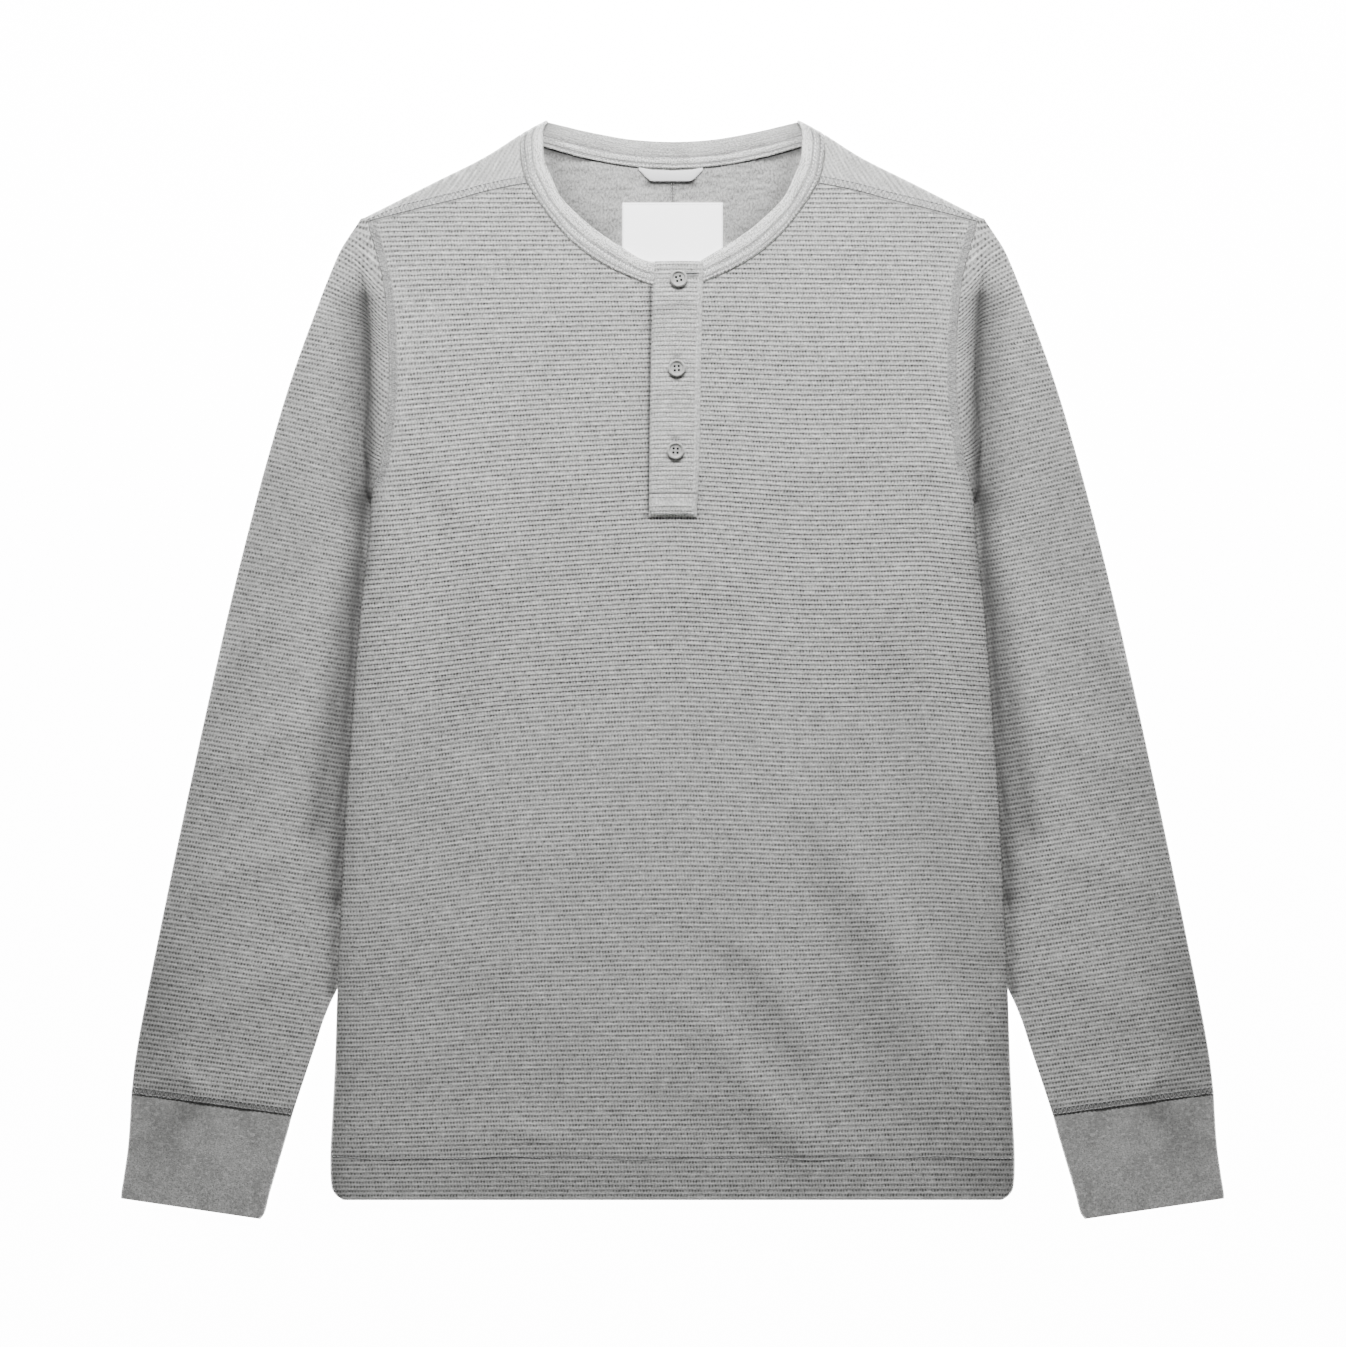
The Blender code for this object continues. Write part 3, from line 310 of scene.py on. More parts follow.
class Cached:
    """A smooth curve that is worked out once and then read quickly."""

    def __init__(self, curve: Callable[[float], float], low: float, high: float, step: float = 0.5) -> None:
        """Samples the curve from low to high."""
        self.low, self.step = low, step
        self.values = [curve(low + n * step) for n in range(int((high - low) / step) + 2)]

    @classmethod
    def through(cls, table: Table, step: float = 0.5) -> "Cached":
        """Curve through a table's rows."""
        return cls(partial(curve_at, table), min(table)[0], max(table)[0], step)

    def __call__(self, at: float) -> float:
        """Value at a position, held inside the range."""
        place = min(max((at - self.low) / self.step, 0), len(self.values) - 1.001)
        n = int(place)
        return mix(self.values[n], self.values[n + 1], place - n)


def fold_height(folds: Table, x: float, y: float) -> float:
    """Height that the soft folds add at a place."""
    total = 0.0
    for x0, y0, x1, y1, width, height in folds:
        along = (x1 - x0, y1 - y0)
        size = math.hypot(*along)
        t = ((x - x0) * along[0] + (y - y0) * along[1]) / size**2
        if -0.3 < t < 1.3:
            off = ((x - x0) * along[1] - (y - y0) * along[0]) / size
            bow = off + 0.16 * width * math.sin(5 * t + x0)
            total += height * math.exp(-((bow / width) ** 2) * 1.6) * ease(-0.3, 0.25, t) * ease(1.3, 0.75, t)
    return total


def distance_to(x: float, y: float, start: Spot, end: Spot) -> float:
    """Distance from a place to a straight stretch."""
    dx, dy = end[0] - start[0], end[1] - start[1]
    t = min(max(((x - start[0]) * dx + (y - start[1]) * dy) / (dx * dx + dy * dy), 0), 1)
    return math.hypot(x - start[0] - t * dx, y - start[1] - t * dy)


def soft_shade(shades: Sequence[Shade], x: float, y: float) -> float:
    """Share of the light that a place keeps beside edges and creases, where soft shadow gathers."""
    tone = 1.0
    for places, width, depth in shades:
        reach = 3 * width
        ends = (places[0][1], places[-1][1])
        across = [place[0] for place in places]
        if min(ends) - reach < y < max(ends) + reach and min(across) - reach < x < max(across) + reach:
            off = min(distance_to(x, y, a, b) for a, b in pairwise(places))
            tone *= 1 - depth * math.exp(-((off / width) ** 2))
    return tone


def rib_profile(count: float) -> float:
    """Height of the knit's surface at a rib count: narrow grooves at whole numbers, broad ribs between."""
    return RIB_RELIEF * ease(0, 0.32, abs(count - round(count))) ** 0.8


@dataclass
class Cloth:
    """Collects one piece's points, pattern marks and faces, then makes its object.

    A mark is the distance along the rib in millimetres and the rib count across it.
    """

    name: str
    shades: Sequence[Shade] = ()
    points: list[Point] = field(default_factory=list)
    marks: list[Mark] = field(default_factory=list)
    faces: list[tuple[int, ...]] = field(default_factory=list)
    finishes: list[int] = field(default_factory=list)
    current: int = 0  # number of the finish that new faces take
    # painted shade of single points, multiplied into the shade attribute
    painted_shades: dict[int, float] = field(default_factory=dict)  # of single points

    def face(self, *numbers: int) -> None:
        """Adds one face."""
        self.faces.append(numbers)
        self.finishes.append(self.current)

    def row(self, points: Sequence[Point], marks: Sequence[Mark] | None = None) -> list[int]:
        """Adds points, and returns their numbers."""
        first = len(self.points)
        self.points.extend(points)
        self.marks.extend(marks or [(x, y / RIB) for x, y, _ in points])
        return list(range(first, len(self.points)))

    def net(self, rows: Net, finish: int | None = None) -> None:
        """Adds four-sided faces between rows of equal length, in the current finish or another."""
        kept = self.current
        self.current = kept if finish is None else finish
        for low, high in pairwise(rows):
            for (a, b), (d, c) in zip(pairwise(low), pairwise(high)):
                self.face(a, b, c, d)
        self.current = kept

    def zip(self, one: Sequence[int], two: Sequence[int]) -> None:
        """Adds triangles between two chains of points that start and end beside each other."""
        shares = []
        for chain in (one, two):
            lengths = distances([self.points[n] for n in chain])
            shares.append([length / lengths[-1] for length in lengths] + [2.0])
        a = b = 0
        while a < len(one) - 1 or b < len(two) - 1:
            if shares[0][a + 1] <= shares[1][b + 1]:
                self.face(one[a], one[a + 1], two[b])
                a += 1
            else:
                self.face(two[b + 1], two[b], one[a])
                b += 1

    def zip_ends(self, one: Net, two: Net, ends: Sequence[int]) -> None:
        """Joins the rows of two nets at their first points, their last ones or both."""
        for end in ends:
            self.zip([row[end] for row in one], [row[end] for row in two])

    def build(self, materials: Sequence[Material], mirror: bool = False, smooth: float = 50.0) -> Object:
        """Makes the object, with its faces pointing out and its marks as a UV map.

        Args:
            materials: The piece's finishes, by number.
            mirror: Whether the piece is turned over to the other side of the middle.
            smooth: Angle in degrees under which neighbouring faces shade as one.

        Returns:
            The finished object.
        """
        side = -1 if mirror else 1
        mesh = bpy.data.meshes.new(self.name)
        mesh.from_pydata([(side * x * MM, y * MM, z * MM) for x, y, z in self.points], [], self.faces)
        layer = mesh.uv_layers.new(name="marks")
        for loop in mesh.loops:
            layer.data[loop.index].uv = self.marks[loop.vertex_index]
        # painted shade: the piece's shade table times the painted shade of single points, which darkens the
        # base colour
        painted_shades = [
            soft_shade(self.shades, x, y) * self.painted_shades.get(n, 1) for n, (x, y, _) in enumerate(self.points)
        ]
        mesh.attributes.new("shade", "FLOAT", "POINT").data.foreach_set("value", painted_shades)
        mesh.polygons.foreach_set("material_index", self.finishes)
        shape = bmesh.new()
        shape.from_mesh(mesh)
        bmesh.ops.remove_doubles(shape, verts=shape.verts, dist=0.00001)
        bmesh.ops.dissolve_degenerate(shape, edges=shape.edges, dist=0.000001)
        bmesh.ops.recalc_face_normals(shape, faces=shape.faces)
        if shape.calc_volume(signed=True) < 0:
            bmesh.ops.reverse_faces(shape, faces=shape.faces)
        for edge in shape.edges:
            if len(edge.link_faces) == 2 and edge.calc_face_angle(0) > math.radians(smooth):
                edge.smooth = False
        shape.to_mesh(mesh)
        shape.free()
        return show(mesh, *materials)


def show(mesh: bpy.types.Mesh, *materials: Material) -> Object:
    """Links an object that shows a smoothly shaded mesh in its finishes."""
    mesh.polygons.foreach_set("use_smooth", [True] * len(mesh.polygons))
    for material in materials:
        mesh.materials.append(material)
    piece = bpy.data.objects.new(mesh.name, mesh)
    bpy.context.scene.collection.objects.link(piece)
    return piece


# ---------------------------------------------------------------- the body's form

side_x = Cached.through(SIDE)
tuck_at = Cached.through(TUCK)
seam_lift_at = Cached.through(SEAM_LIFT)
forward_x = Cached.through(FORWARD_SEAM)
forward_y = Cached.through([(x, y) for y, x in FORWARD_SEAM])
sleeve_out_x = Cached.through(SLEEVE_OUT)
back_neck_y = Cached(lambda x: curve_at(BACK_OUTER, x) - NECK_TUCK, 0, 100)
placket_edges = {-1: Cached.through(PLACKET_LEFT), 1: Cached.through(PLACKET_RIGHT)}
rise_curves = [Cached.through([(y, row[n]) for y, row in RISE.items()], 2) for n in range(len(RISE_X))]


def placket_x(y: float, side: int) -> float:
    """Distance from the middle to the placket's edge; side is -1 or 1."""
    return placket_edges[side](y)


def front_end_x(y: float) -> float:
    """Outer end of the front panel's rib at a height."""
    return side_x(y) if y <= FORWARD_SEAM[0][0] else forward_x(y)


def body_lift(x: float, y: float) -> float:
    """Height of the body's underside, which lies on the sleeve at its side."""
    if y > ARMPIT_Y:
        lift, shelf = seam_lift_at(y), SHELF
    else:
        lift, shelf = BODY_LIFT * ease(SLEEVE_OUT_Y - 60, SLEEVE_OUT_Y, y), max(tuck_at(y), 0) + SHELF
    straight = min(max((side_x(y) - abs(x) - shelf) / RAMP, 0), 1)
    return lift * (1 - mix(straight, ease(0, 1, straight), 0.6))


def collar_lift(x: float, y: float) -> float:
    """Extra height of the front neck over the label."""
    return COLLAR_LIFT * ease(85, 45, abs(x)) * ease(215, 246, y)


def front_base(x: float, y: float) -> float:
    """Height of the front panel's lower layer."""
    return body_lift(x, y) + collar_lift(x, y)


def hem_raise(y: float) -> float:
    """Extra height of the turned-up hem."""
    return HEM_RAISE * ease(HEM_STITCH_Y + 1, HEM_STITCH_Y - 1.5, y)


def side_turn(y: float) -> float:
    """1 where the front panel turns down round the side fold, 0 along the armhole seam."""
    return ease(ARMPIT_Y + 10, ARMPIT_Y - 12, y)


def neck_seam() -> list[Spot]:
    """Front neck seam as (y, x) rows, just outside the neckband's outer edge."""
    points = [path_at(BAND_OUTER, n / 24) for n in range(25)]
    rows = []
    for before, (x, y), after in zip([points[0], *points], points, [*points[1:], points[-1]]):
        dx, dy = after[0] - before[0], after[1] - before[1]
        size = math.hypot(dx, dy)
        rows.append((y - dx / size * NECK_CLEAR, x + dy / size * NECK_CLEAR))
    return [(SLOT_BOTTOM_Y, 0), (rows[0][0] - 6, 0), *rows]


NECK_SEAM = neck_seam()
NECK_START_Y = NECK_SEAM[1][0]
neck_x = Cached.through(NECK_SEAM)


def rib_row(count: float) -> Cached:
    """Height over x of the front rib row with a count from the hem."""
    y = HEM_Y + count * RIB
    return Cached.through([(x, y + rise(y)) for x, rise in zip(RISE_X, rise_curves)], 2.5)


def first_above(counts: Sequence[float], y: float) -> int:
    """Number of the first rib count that lies above a height."""
    return next(n for n, count in enumerate(counts) if HEM_Y + count * RIB > y)


@dataclass
class BodyFront:
    """Front panel of the body, cut out for the neck and behind the placket, with every rib modelled."""

    rows_per_rib: int = 4
    fold_steps: tuple[float, ...] = (0, 0.2, 0.75, 1.7, 3.4)  # from the side inwards
    fold_heights: tuple[float, ...] = (0, 0.42, 0.8, 0.97, 1)
    seam_steps: tuple[float, ...] = (0, 0.25, 0.9, 3.2, 6)  # from the armhole seam inwards
    seam_dips: tuple[float, ...] = (0.75, 0.3, 0, 0, 0.12)
    inner_steps: tuple[float, ...] = (6.4, 5, 4.1, 3.5, 3, 2.6, 2.2, 1.6, 0)  # from the middle outwards
    columns: int = 38
    plain_columns: int = 3
    plain_rows: int = 16

    def half(self, count: float, side: int) -> list[Spot]:
        """Places on one half of a rib's row, from the side to the middle."""
        height = rib_row(count)
        y_mid = height(0)
        inner = placket_x(y_mid, side) - SLOT_INSET if y_mid > SLOT_BOTTOM_Y else 0
        if y_mid > NECK_START_Y:
            inner = max(inner, neck_x(y_mid))
        end = 200.0
        for _ in range(4):
            end = front_end_x(height(side * end))
        width = end - inner
        scale = min(1, width / 40)
        turn = side_turn(height(side * end))
        steps = [scale * mix(b, a, turn) for a, b in zip(self.fold_steps, self.seam_steps)]
        near = [scale * d for d in self.inner_steps]
        rest = width - steps[-1] - near[0]
        steps += [steps[-1] + rest * (n + 1) / self.columns for n in range(self.columns)]
        steps += [width - d for d in near[1:]]
        places = [(side * (end - d), height(side * (end - d))) for d in steps]
        if inner > 0 and y_mid > NECK_START_Y + 3:
            y = places[-1][1]
            places[-1] = (side * max(neck_x(y), placket_x(y, side) - SLOT_INSET), y)
        return places

    def outer_row(self, cloth: Cloth, count: float) -> list[list[int]]:
        """Adds the outside points of one row: left half and right half."""
        halves = []
        for side in BOTH:
            points = []
            for n, (x, y) in enumerate(self.half(count, side)):
                base = front_base(x, y) + fold_height(BODY_FOLDS, x, y) + FLAT + hem_raise(y)
                relief = rib_profile(count) * mix(1, 0.62, ease(120, -300, y))
                z = base + relief
                if n < len(self.fold_heights):
                    turn = side_turn(y)
                    z = base + mix(0.3 + 0.25 * relief, relief, turn) - self.seam_dips[n] * (1 - turn)
                    z = mix(mix(z, body_lift(x, y), turn), z, self.fold_heights[n])
                points.append((x, y, z))
            halves.append(cloth.row(points, [(x, count) for x, _, _ in points]))
        return halves

    def inner_row(self, cloth: Cloth, count: float) -> list[list[int]]:
        """Adds the plain inside points of one row: left half and right half."""
        halves = []
        for side in BOTH:
            half = self.half(count, side)
            picked = [half[0], half[4], *half[5 + self.plain_columns :: self.plain_columns]]
            if half[-1] not in picked:
                picked.append(half[-1])
            points = []
            for n, (x, y) in enumerate(picked):
                z = front_base(x, y) + fold_height(BODY_FOLDS, x, y) + LEVEL_2
                if n == 0:
                    turn = side_turn(y)
                    x -= side * WALL * turn
                    z = mix(z, body_lift(x, y), turn)
                points.append((x, y, z))
            halves.append(cloth.row(points))
        return halves

    def build(self, finish: Material, pressed: Material) -> Object:
        """Makes the panel.

        Args:
            finish: Ribbed finish.
            pressed: Finish of the flattened cloth along the armhole seams.

        Returns:
            The panel.
        """
        cloth = Cloth("front_cloth", FRONT_SHADES)
        last = (APEX_Y - HEM_Y) / RIB
        counts = [n / self.rows_per_rib for n in range(int(last * self.rows_per_rib))] + [last]
        slot, neck, armpit = (first_above(counts, y) for y in (SLOT_BOTTOM_Y, NECK_START_Y, ARMPIT_Y + 19.5))
        end = len(counts) - 1
        plain = sorted({*range(0, end, self.plain_rows), slot - 1, slot, *range(neck, end, 4), end})
        outer = [self.outer_row(cloth, count) for count in counts]
        inner = [self.inner_row(cloth, counts[n]) for n in plain]
        whole = plain.index(slot)
        seam = len(self.seam_steps) - 1
        for side in (0, 1):
            out_half, in_half = [row[side] for row in outer], [row[side] for row in inner]
            cloth.net(out_half[: armpit + 1])
            cloth.net([row[seam:] for row in out_half[armpit:]])
            cloth.net([row[: seam + 1] for row in out_half[armpit:]], 1)
            cloth.net(in_half)
            cloth.zip_ends(out_half, in_half, [0])
            cloth.zip_ends(out_half[slot:], in_half[whole:], [-1])
            for row in (0, -1):
                cloth.zip(out_half[row], in_half[row])
        cloth.face(outer[slot - 1][0][-1], outer[slot][0][-1], outer[slot][1][-1])
        cloth.face(inner[whole - 1][0][-1], inner[whole][0][-1], inner[whole][1][-1])
        cloth.face(outer[slot][0][-1], outer[slot][1][-1], inner[whole][1][-1], inner[whole][0][-1])
        return cloth.build([finish, pressed])


def shoulder_seam(share: float) -> Spot:
    """Place on the forward seam that lies across from a share of the shoulder fold, 0 at the neck."""
    x = mix(96.4, 200.6, share)
    return x, forward_y(x) + NECK_CLEAR


def over_shoulder(fold: Sequence[float], at: Spot) -> Mark:
    """Pattern mark of a place on the wrap: where it would lie if the back were unfolded."""
    away_x, away_y = SHOULDER_AWAY
    off = (at[0] - fold[0]) * away_x + (at[1] - fold[1]) * away_y
    return at[0] - 2 * off * away_x, (at[1] - 2 * off * away_y) / RIB


@dataclass
class BodyBack:
    """Back panel: it lies under the front, wraps over each shoulder and ends at the forward seam."""

    plate_top: float = 272.0
    step: float = 12.4
    neck_columns: int = 60
    neck_rows: int = 64
    wrap_columns: int = 130
    wrap_rows: int = 34
    fold_angles: tuple[float, ...] = (0, 30, 60, 90, 120, 150, 180)

    def edge_x(self, y: float) -> float:
        """Half width: inside the front's turned side, and at the armhole seam above."""
        turned = ease(ARMPIT_Y + 26, ARMPIT_Y + 4, y)
        return side_x(y) - mix(ARMHOLE_EASE, WALL + SEAM_GAP + 0.4, turned)

    def plate_rows(self) -> list[list[Spot]]:
        """Places of the flat part, one row for each height, from left to right."""
        rows = []
        for n in range(int((self.plate_top - HEM_Y) / self.step) + 1):
            y = HEM_Y + n * self.step
            shelf = SHELF + 1 + (max(tuck_at(y), 0) if y <= ARMPIT_Y else 0)
            ramp = [side_x(y) - shelf - RAMP * n / 4 for n in range(5)]
            inner = (ramp[-1] * n / (self.neck_columns + 1) for n in range(self.neck_columns, 0, -1))
            columns = [self.edge_x(y), *ramp, *inner]
            rows.append([(-x, y) for x in columns] + [(0, y)] + [(x, y) for x in columns[::-1]])
        top = [path_at(SHOULDER, 1 - n / 6) for n in range(7)]
        spots = (94 * n / self.neck_columns for n in range(self.neck_columns - 1, 0, -1))
        top += [(x, back_neck_y(x)) for x in spots]
        top_row = [(-x, y) for x, y in top] + [(0, back_neck_y(0))] + top[::-1]
        base = rows[-1]
        for step in range(1, self.neck_rows + 1):
            row = [between(a, b, step / self.neck_rows) for a, b in zip(base, top_row)]
            if step < self.neck_rows:
                for end in (0, -1):
                    x, y = row[end]
                    row[end] = (math.copysign(side_x(y) - ARMHOLE_EASE, x), y)
            rows.append(row)
        return rows

    def wrap(self, cloth: Cloth, side: int, outside: list[int], inside: list[int]) -> None:
        """Adds one shoulder's wrap, from the plate's last row to the forward seam.

        Args:
            cloth: The back's cloth.
            side: The shirt's side, -1 or 1.
            outside: Points of the plate's underside along the shoulder, from its end.
            inside: Points of the plate's upper side along the shoulder, from its end.
        """
        shares = [1 - n / self.wrap_columns for n in range(self.wrap_columns + 1)]
        fold = [path_at(SHOULDER, share) for share in shares]
        out_rows, in_rows = [], []
        for angle in self.fold_angles:
            turn = math.radians(angle)
            for rows, radius in ((out_rows, FLAT / 2), (in_rows, SEAM_GAP / 2)):
                reach = radius * math.sin(turn)
                ring = [
                    (side * (x + SHOULDER_AWAY[0] * reach), y + SHOULDER_AWAY[1] * reach,
                     body_lift(x, y) + FLAT / 2 - radius * math.cos(turn))
                    for x, y in fold
                ]
                rows.append(cloth.row(ring, [(side * x, y / RIB) for x, y in fold]))
        for step in range(1, self.wrap_rows + 1):
            share = step / self.wrap_rows
            plain, ribbed, marks = [], [], []
            for start, along in zip(fold, shares):
                x, y = between(start, shoulder_seam(along), share)
                x += 2.4 * math.sin(math.pi * share) * ease(0.08, 0, along)
                base = front_base(x, y)
                across, count = over_shoulder(start, (x, y))
                plain.append((side * x, y, base + LEVEL_2))
                ribbed.append((side * x, y, base + FLAT + 0.4 * rib_profile(count) * ease(0, 0.12, share)))
                marks.append((side * across, count))
            out_rows.append(cloth.row(ribbed, marks))
            if step == self.wrap_rows or step % 4 == 0:
                in_rows.append(cloth.row(plain, marks))
        cloth.net(out_rows)
        cloth.net(in_rows)
        cloth.zip(outside, out_rows[0])
        cloth.zip(inside, in_rows[0])
        cloth.zip(out_rows[-1], in_rows[-1])
        cloth.zip_ends(out_rows, in_rows, [0, -1])

    def build(self, finish: Material, reverse: Material, soft: Material) -> Object:
        """Makes the panel.

        Args:
            finish: Ribbed finish of the outside.
            reverse: Smoother finish of the inside.
            soft: Finish where the cloth is drawn over the shoulders.

        Returns:
            The panel.
        """
        cloth = Cloth("back_cloth", INSIDE_SHADES)
        rows = self.plate_rows()
        outside, inside = (
            [cloth.row([(x, y, body_lift(x, y) + up) for x, y in row]) for row in rows] for up in (0, WALL)
        )
        cloth.net(outside)
        cloth.net(inside, 1)
        cloth.current = 2
        self.wrap(cloth, -1, outside[-1][:7], inside[-1][:7])
        self.wrap(cloth, 1, outside[-1][:-8:-1], inside[-1][:-8:-1])
        cloth.current = 0
        cloth.zip(outside[-1][6:-6], inside[-1][6:-6])
        cloth.zip(outside[0], inside[0])
        cloth.zip_ends(outside, inside, [0, -1])
        return cloth.build([finish, reverse, soft])


# ---------------------------------------------------------------- sleeves and cuffs


def sleeve_in_x(y: float) -> float:
    """Inner edge of the sleeve below the armpit, hidden under the body's side or clear of it."""
    return curve_at(SLEEVE_IN, y) if y < SLEEVE_IN[-1][0] else side_x(y) - tuck_at(y)


def seam_x(y: float) -> float:
    """Armhole seam, on the sleeve's side."""
    return side_x(y) + SEAM_CLOSE


def edge_path(x_at: Callable[[float], float], start: float, end: float, count: int) -> list[Spot]:
    """Evenly spaced points on an edge between two heights."""
    heights = [mix(start, end, n / 60) for n in range(61)]
    raw = [(x_at(y), y) for y in heights]
    lengths = distances(raw)
    across, along = (Cached.through(list(zip(lengths, axis)), 1) for axis in zip(*raw))
    return [(across(at), along(at)) for at in (lengths[-1] * n / count for n in range(count + 1))]


@dataclass
class Sleeve:
    """One sleeve: a ribbed tube pressed flat, open at the armhole and the cuff."""

    name: str
    mirror: bool
    rows_per_rib: int = 4
    cap_ribs: int = 55  # from the shoulder to the armpit
    arm_ribs: int = 138  # from the armpit to the cuff
    columns: int = 24
    fold_steps: tuple[float, ...] = (0, 0.12, 0.45, 1.1, 2.2)
    fold_heights: tuple[float, ...] = (0.5, 0.68, 0.86, 0.97, 1)

    def ends(self) -> tuple[list[Spot], list[Spot], int]:
        """Outer and inner end of every row, and the number of the row that ends at the armpit."""
        cap, arm = self.rows_per_rib * self.cap_ribs, self.rows_per_rib * self.arm_ribs
        outer = edge_path(sleeve_out_x, SLEEVE_OUT[0][0], ARMPIT_OUT_Y, cap)
        outer += edge_path(sleeve_out_x, ARMPIT_OUT_Y, SLEEVE_OUT[-1][0], arm)[1:]
        inner = edge_path(seam_x, CAP_TOP_Y, ARMPIT_Y, cap)
        inner += edge_path(sleeve_in_x, ARMPIT_Y, SLEEVE_IN[0][0], arm)[1:]
        return outer, inner, cap

    def rows(self, out_end: Spot, in_end: Spot, in_cap: bool, count: float) -> list[Any]:
        """Points of one row, each list from the outer edge inwards.

        Args:
            out_end: The rib's end on the outer edge.
            in_end: Its end on the inner edge, or on the armhole seam.
            in_cap: Whether the row ends on the armhole seam.
            count: Rib count from the shoulder.

        Returns:
            Outer top, outer under, inner top and inner under points, and the marks of the outer top.
        """
        width = math.dist(out_end, in_end)
        y_in = in_end[1]
        near_seam = 8.5 * ease(ARMPIT_Y + 4, ARMPIT_Y + 46, y_in) * ease(296, 268, y_in)
        whole = 13 * ease(205, 258, y_in) * ease(297, 270, y_in)
        drop = near_seam + whole
        shift_x = seam_x(y_in - drop) - in_end[0] if drop > 0 else 0
        whole_share = whole / drop if drop > 0 else 0
        down = ease(SLEEVE_DROP_Y, ARMPIT_Y, y_in)
        lift = seam_lift_at(y_in - drop) if in_cap else BODY_LIFT * down
        open_end = 1 if in_cap else down
        strip = min(mix(1.8, STRIP, ease(ARMPIT_Y - 8, ARMPIT_Y + 34, y_in)), 0.4 * width)
        valley = min(strip + 2.8, 0.6 * width)
        last = self.cap_ribs + self.arm_ribs
        rib = 0.75 * rib_profile(count) * mix(0.12, 1, ease(last - 1, last - 1.7, count))

        def place(distance: float, z: float) -> Point:
            """Point at a distance from the outer end."""
            share = distance / width
            bend = mix(ease(width - valley - 4, width, distance), share, whole_share)
            x, y = between(out_end, in_end, share)
            return x + shift_x * bend, y - drop * bend, z

        def top_z(distance: float) -> float:
            """Height of the outside at a distance from the outer end."""
            x, y, _ = place(distance, 0)
            raised = ease(width - valley, width - strip + 0.6, distance)
            return FLAT + lift * raised + fold_height(SLEEVE_FOLDS, x, y) * ease(0, 6, distance) + rib

        steps = [min(1, width / 30) * d for d in self.fold_steps]
        steps += [mix(steps[-1], width - valley, (n + 1) / self.columns) for n in range(self.columns)]
        steps += [width - valley + (valley - strip) * share for share in (0.35, 0.7, 1)]
        steps += [width - strip * share for share in (0.8, 0.55, 0.3, 0.12, 0.035, 0)]
        heights = [top_z(d) for d in steps]
        for n, share in enumerate(self.fold_heights):
            heights[n] *= share
        heights[-1] -= 0.75 * open_end
        heights[-2] -= 0.35 * open_end
        if open_end < 1:
            heights[-1] = mix(FLAT / 2, heights[-1], open_end)
            heights[-2] *= mix(0.9, 1, open_end)
        top = [place(d, z) for d, z in zip(steps, heights)]
        near = min(1.3, 0.15 * width)
        end_under, end_in = width - 1.3 * (1 - open_end), width - 1.5 * (1 - open_end)
        under = [
            place(near, 0), place(width - valley, 0), place(min(width - strip, end_under - 0.4), lift),
            place(end_under, lift),
        ]
        inner_top, inner_under = [], []
        inside = (near + 0.25, 0.5 * width, width - valley, min(width - strip, end_in - 0.5), end_in)
        for n, d in enumerate(inside):
            rise = lift if n > 2 else 0
            x, y, z = place(d, WALL + rise)
            folded = fold_height(SLEEVE_FOLDS, x, y) if 0 < n < 3 else 0
            inner_top.append((x, y, LEVEL_2 + rise + folded))
            inner_under.append((x, y, z))
        return [top, under, inner_top, inner_under, [(d, count) for d in steps]]

    def build(self, finish: Material, pressed: Material) -> Object:
        """Makes the sleeve.

        Args:
            finish: Ribbed finish.
            pressed: Finish of the flattened cloth above the cuff seam.

        Returns:
            The sleeve.
        """
        outer, inner, cap = self.ends()
        end = len(outer) - 1
        plain = sorted({*range(0, end, 12), cap, cap + 4, cap + 8, end})
        cloth = Cloth(self.name, SLEEVE_SHADES)
        top, under, inner_top, inner_under = [], [], [], []
        for n in range(end + 1):
            count = n / self.rows_per_rib
            *rows, marks = self.rows(outer[n], inner[n], n <= cap, count)
            top.append(cloth.row(rows[0], marks))
            if n in plain:
                for kept, points in zip((under, inner_top, inner_under), rows[1:]):
                    kept.append(cloth.row(points, [(x, count) for x, _, _ in points]))
        armpit = plain.index(cap)
        cloth.net(top[-6:], 1)
        for rows in (top[:-5], under, inner_top, inner_under):
            cloth.net(rows)
        cloth.zip_ends(top, under, [0])
        cloth.zip_ends(inner_top, inner_under, [0])
        cloth.zip_ends(top[cap:], under[armpit:], [-1])
        cloth.zip_ends(inner_top[armpit:], inner_under[armpit:], [-1])
        cloth.zip_ends(top[: cap + 1], inner_top[: armpit + 1], [-1])
        cloth.zip_ends(under[: armpit + 1], inner_under[: armpit + 1], [-1])
        cloth.face(top[cap][-1], under[armpit][-1], inner_under[armpit][-1], inner_top[armpit][-1])
        cloth.zip(top[0][::-1] + under[0], inner_top[0][::-1] + inner_under[0])
        pairs = ((top[-1], under[-1]), (inner_top[-1], inner_under[-1]))
        cloth.zip(*(upper + lower[::-1] + upper[:1] for upper, lower in pairs))
        return cloth.build([finish, pressed], self.mirror)


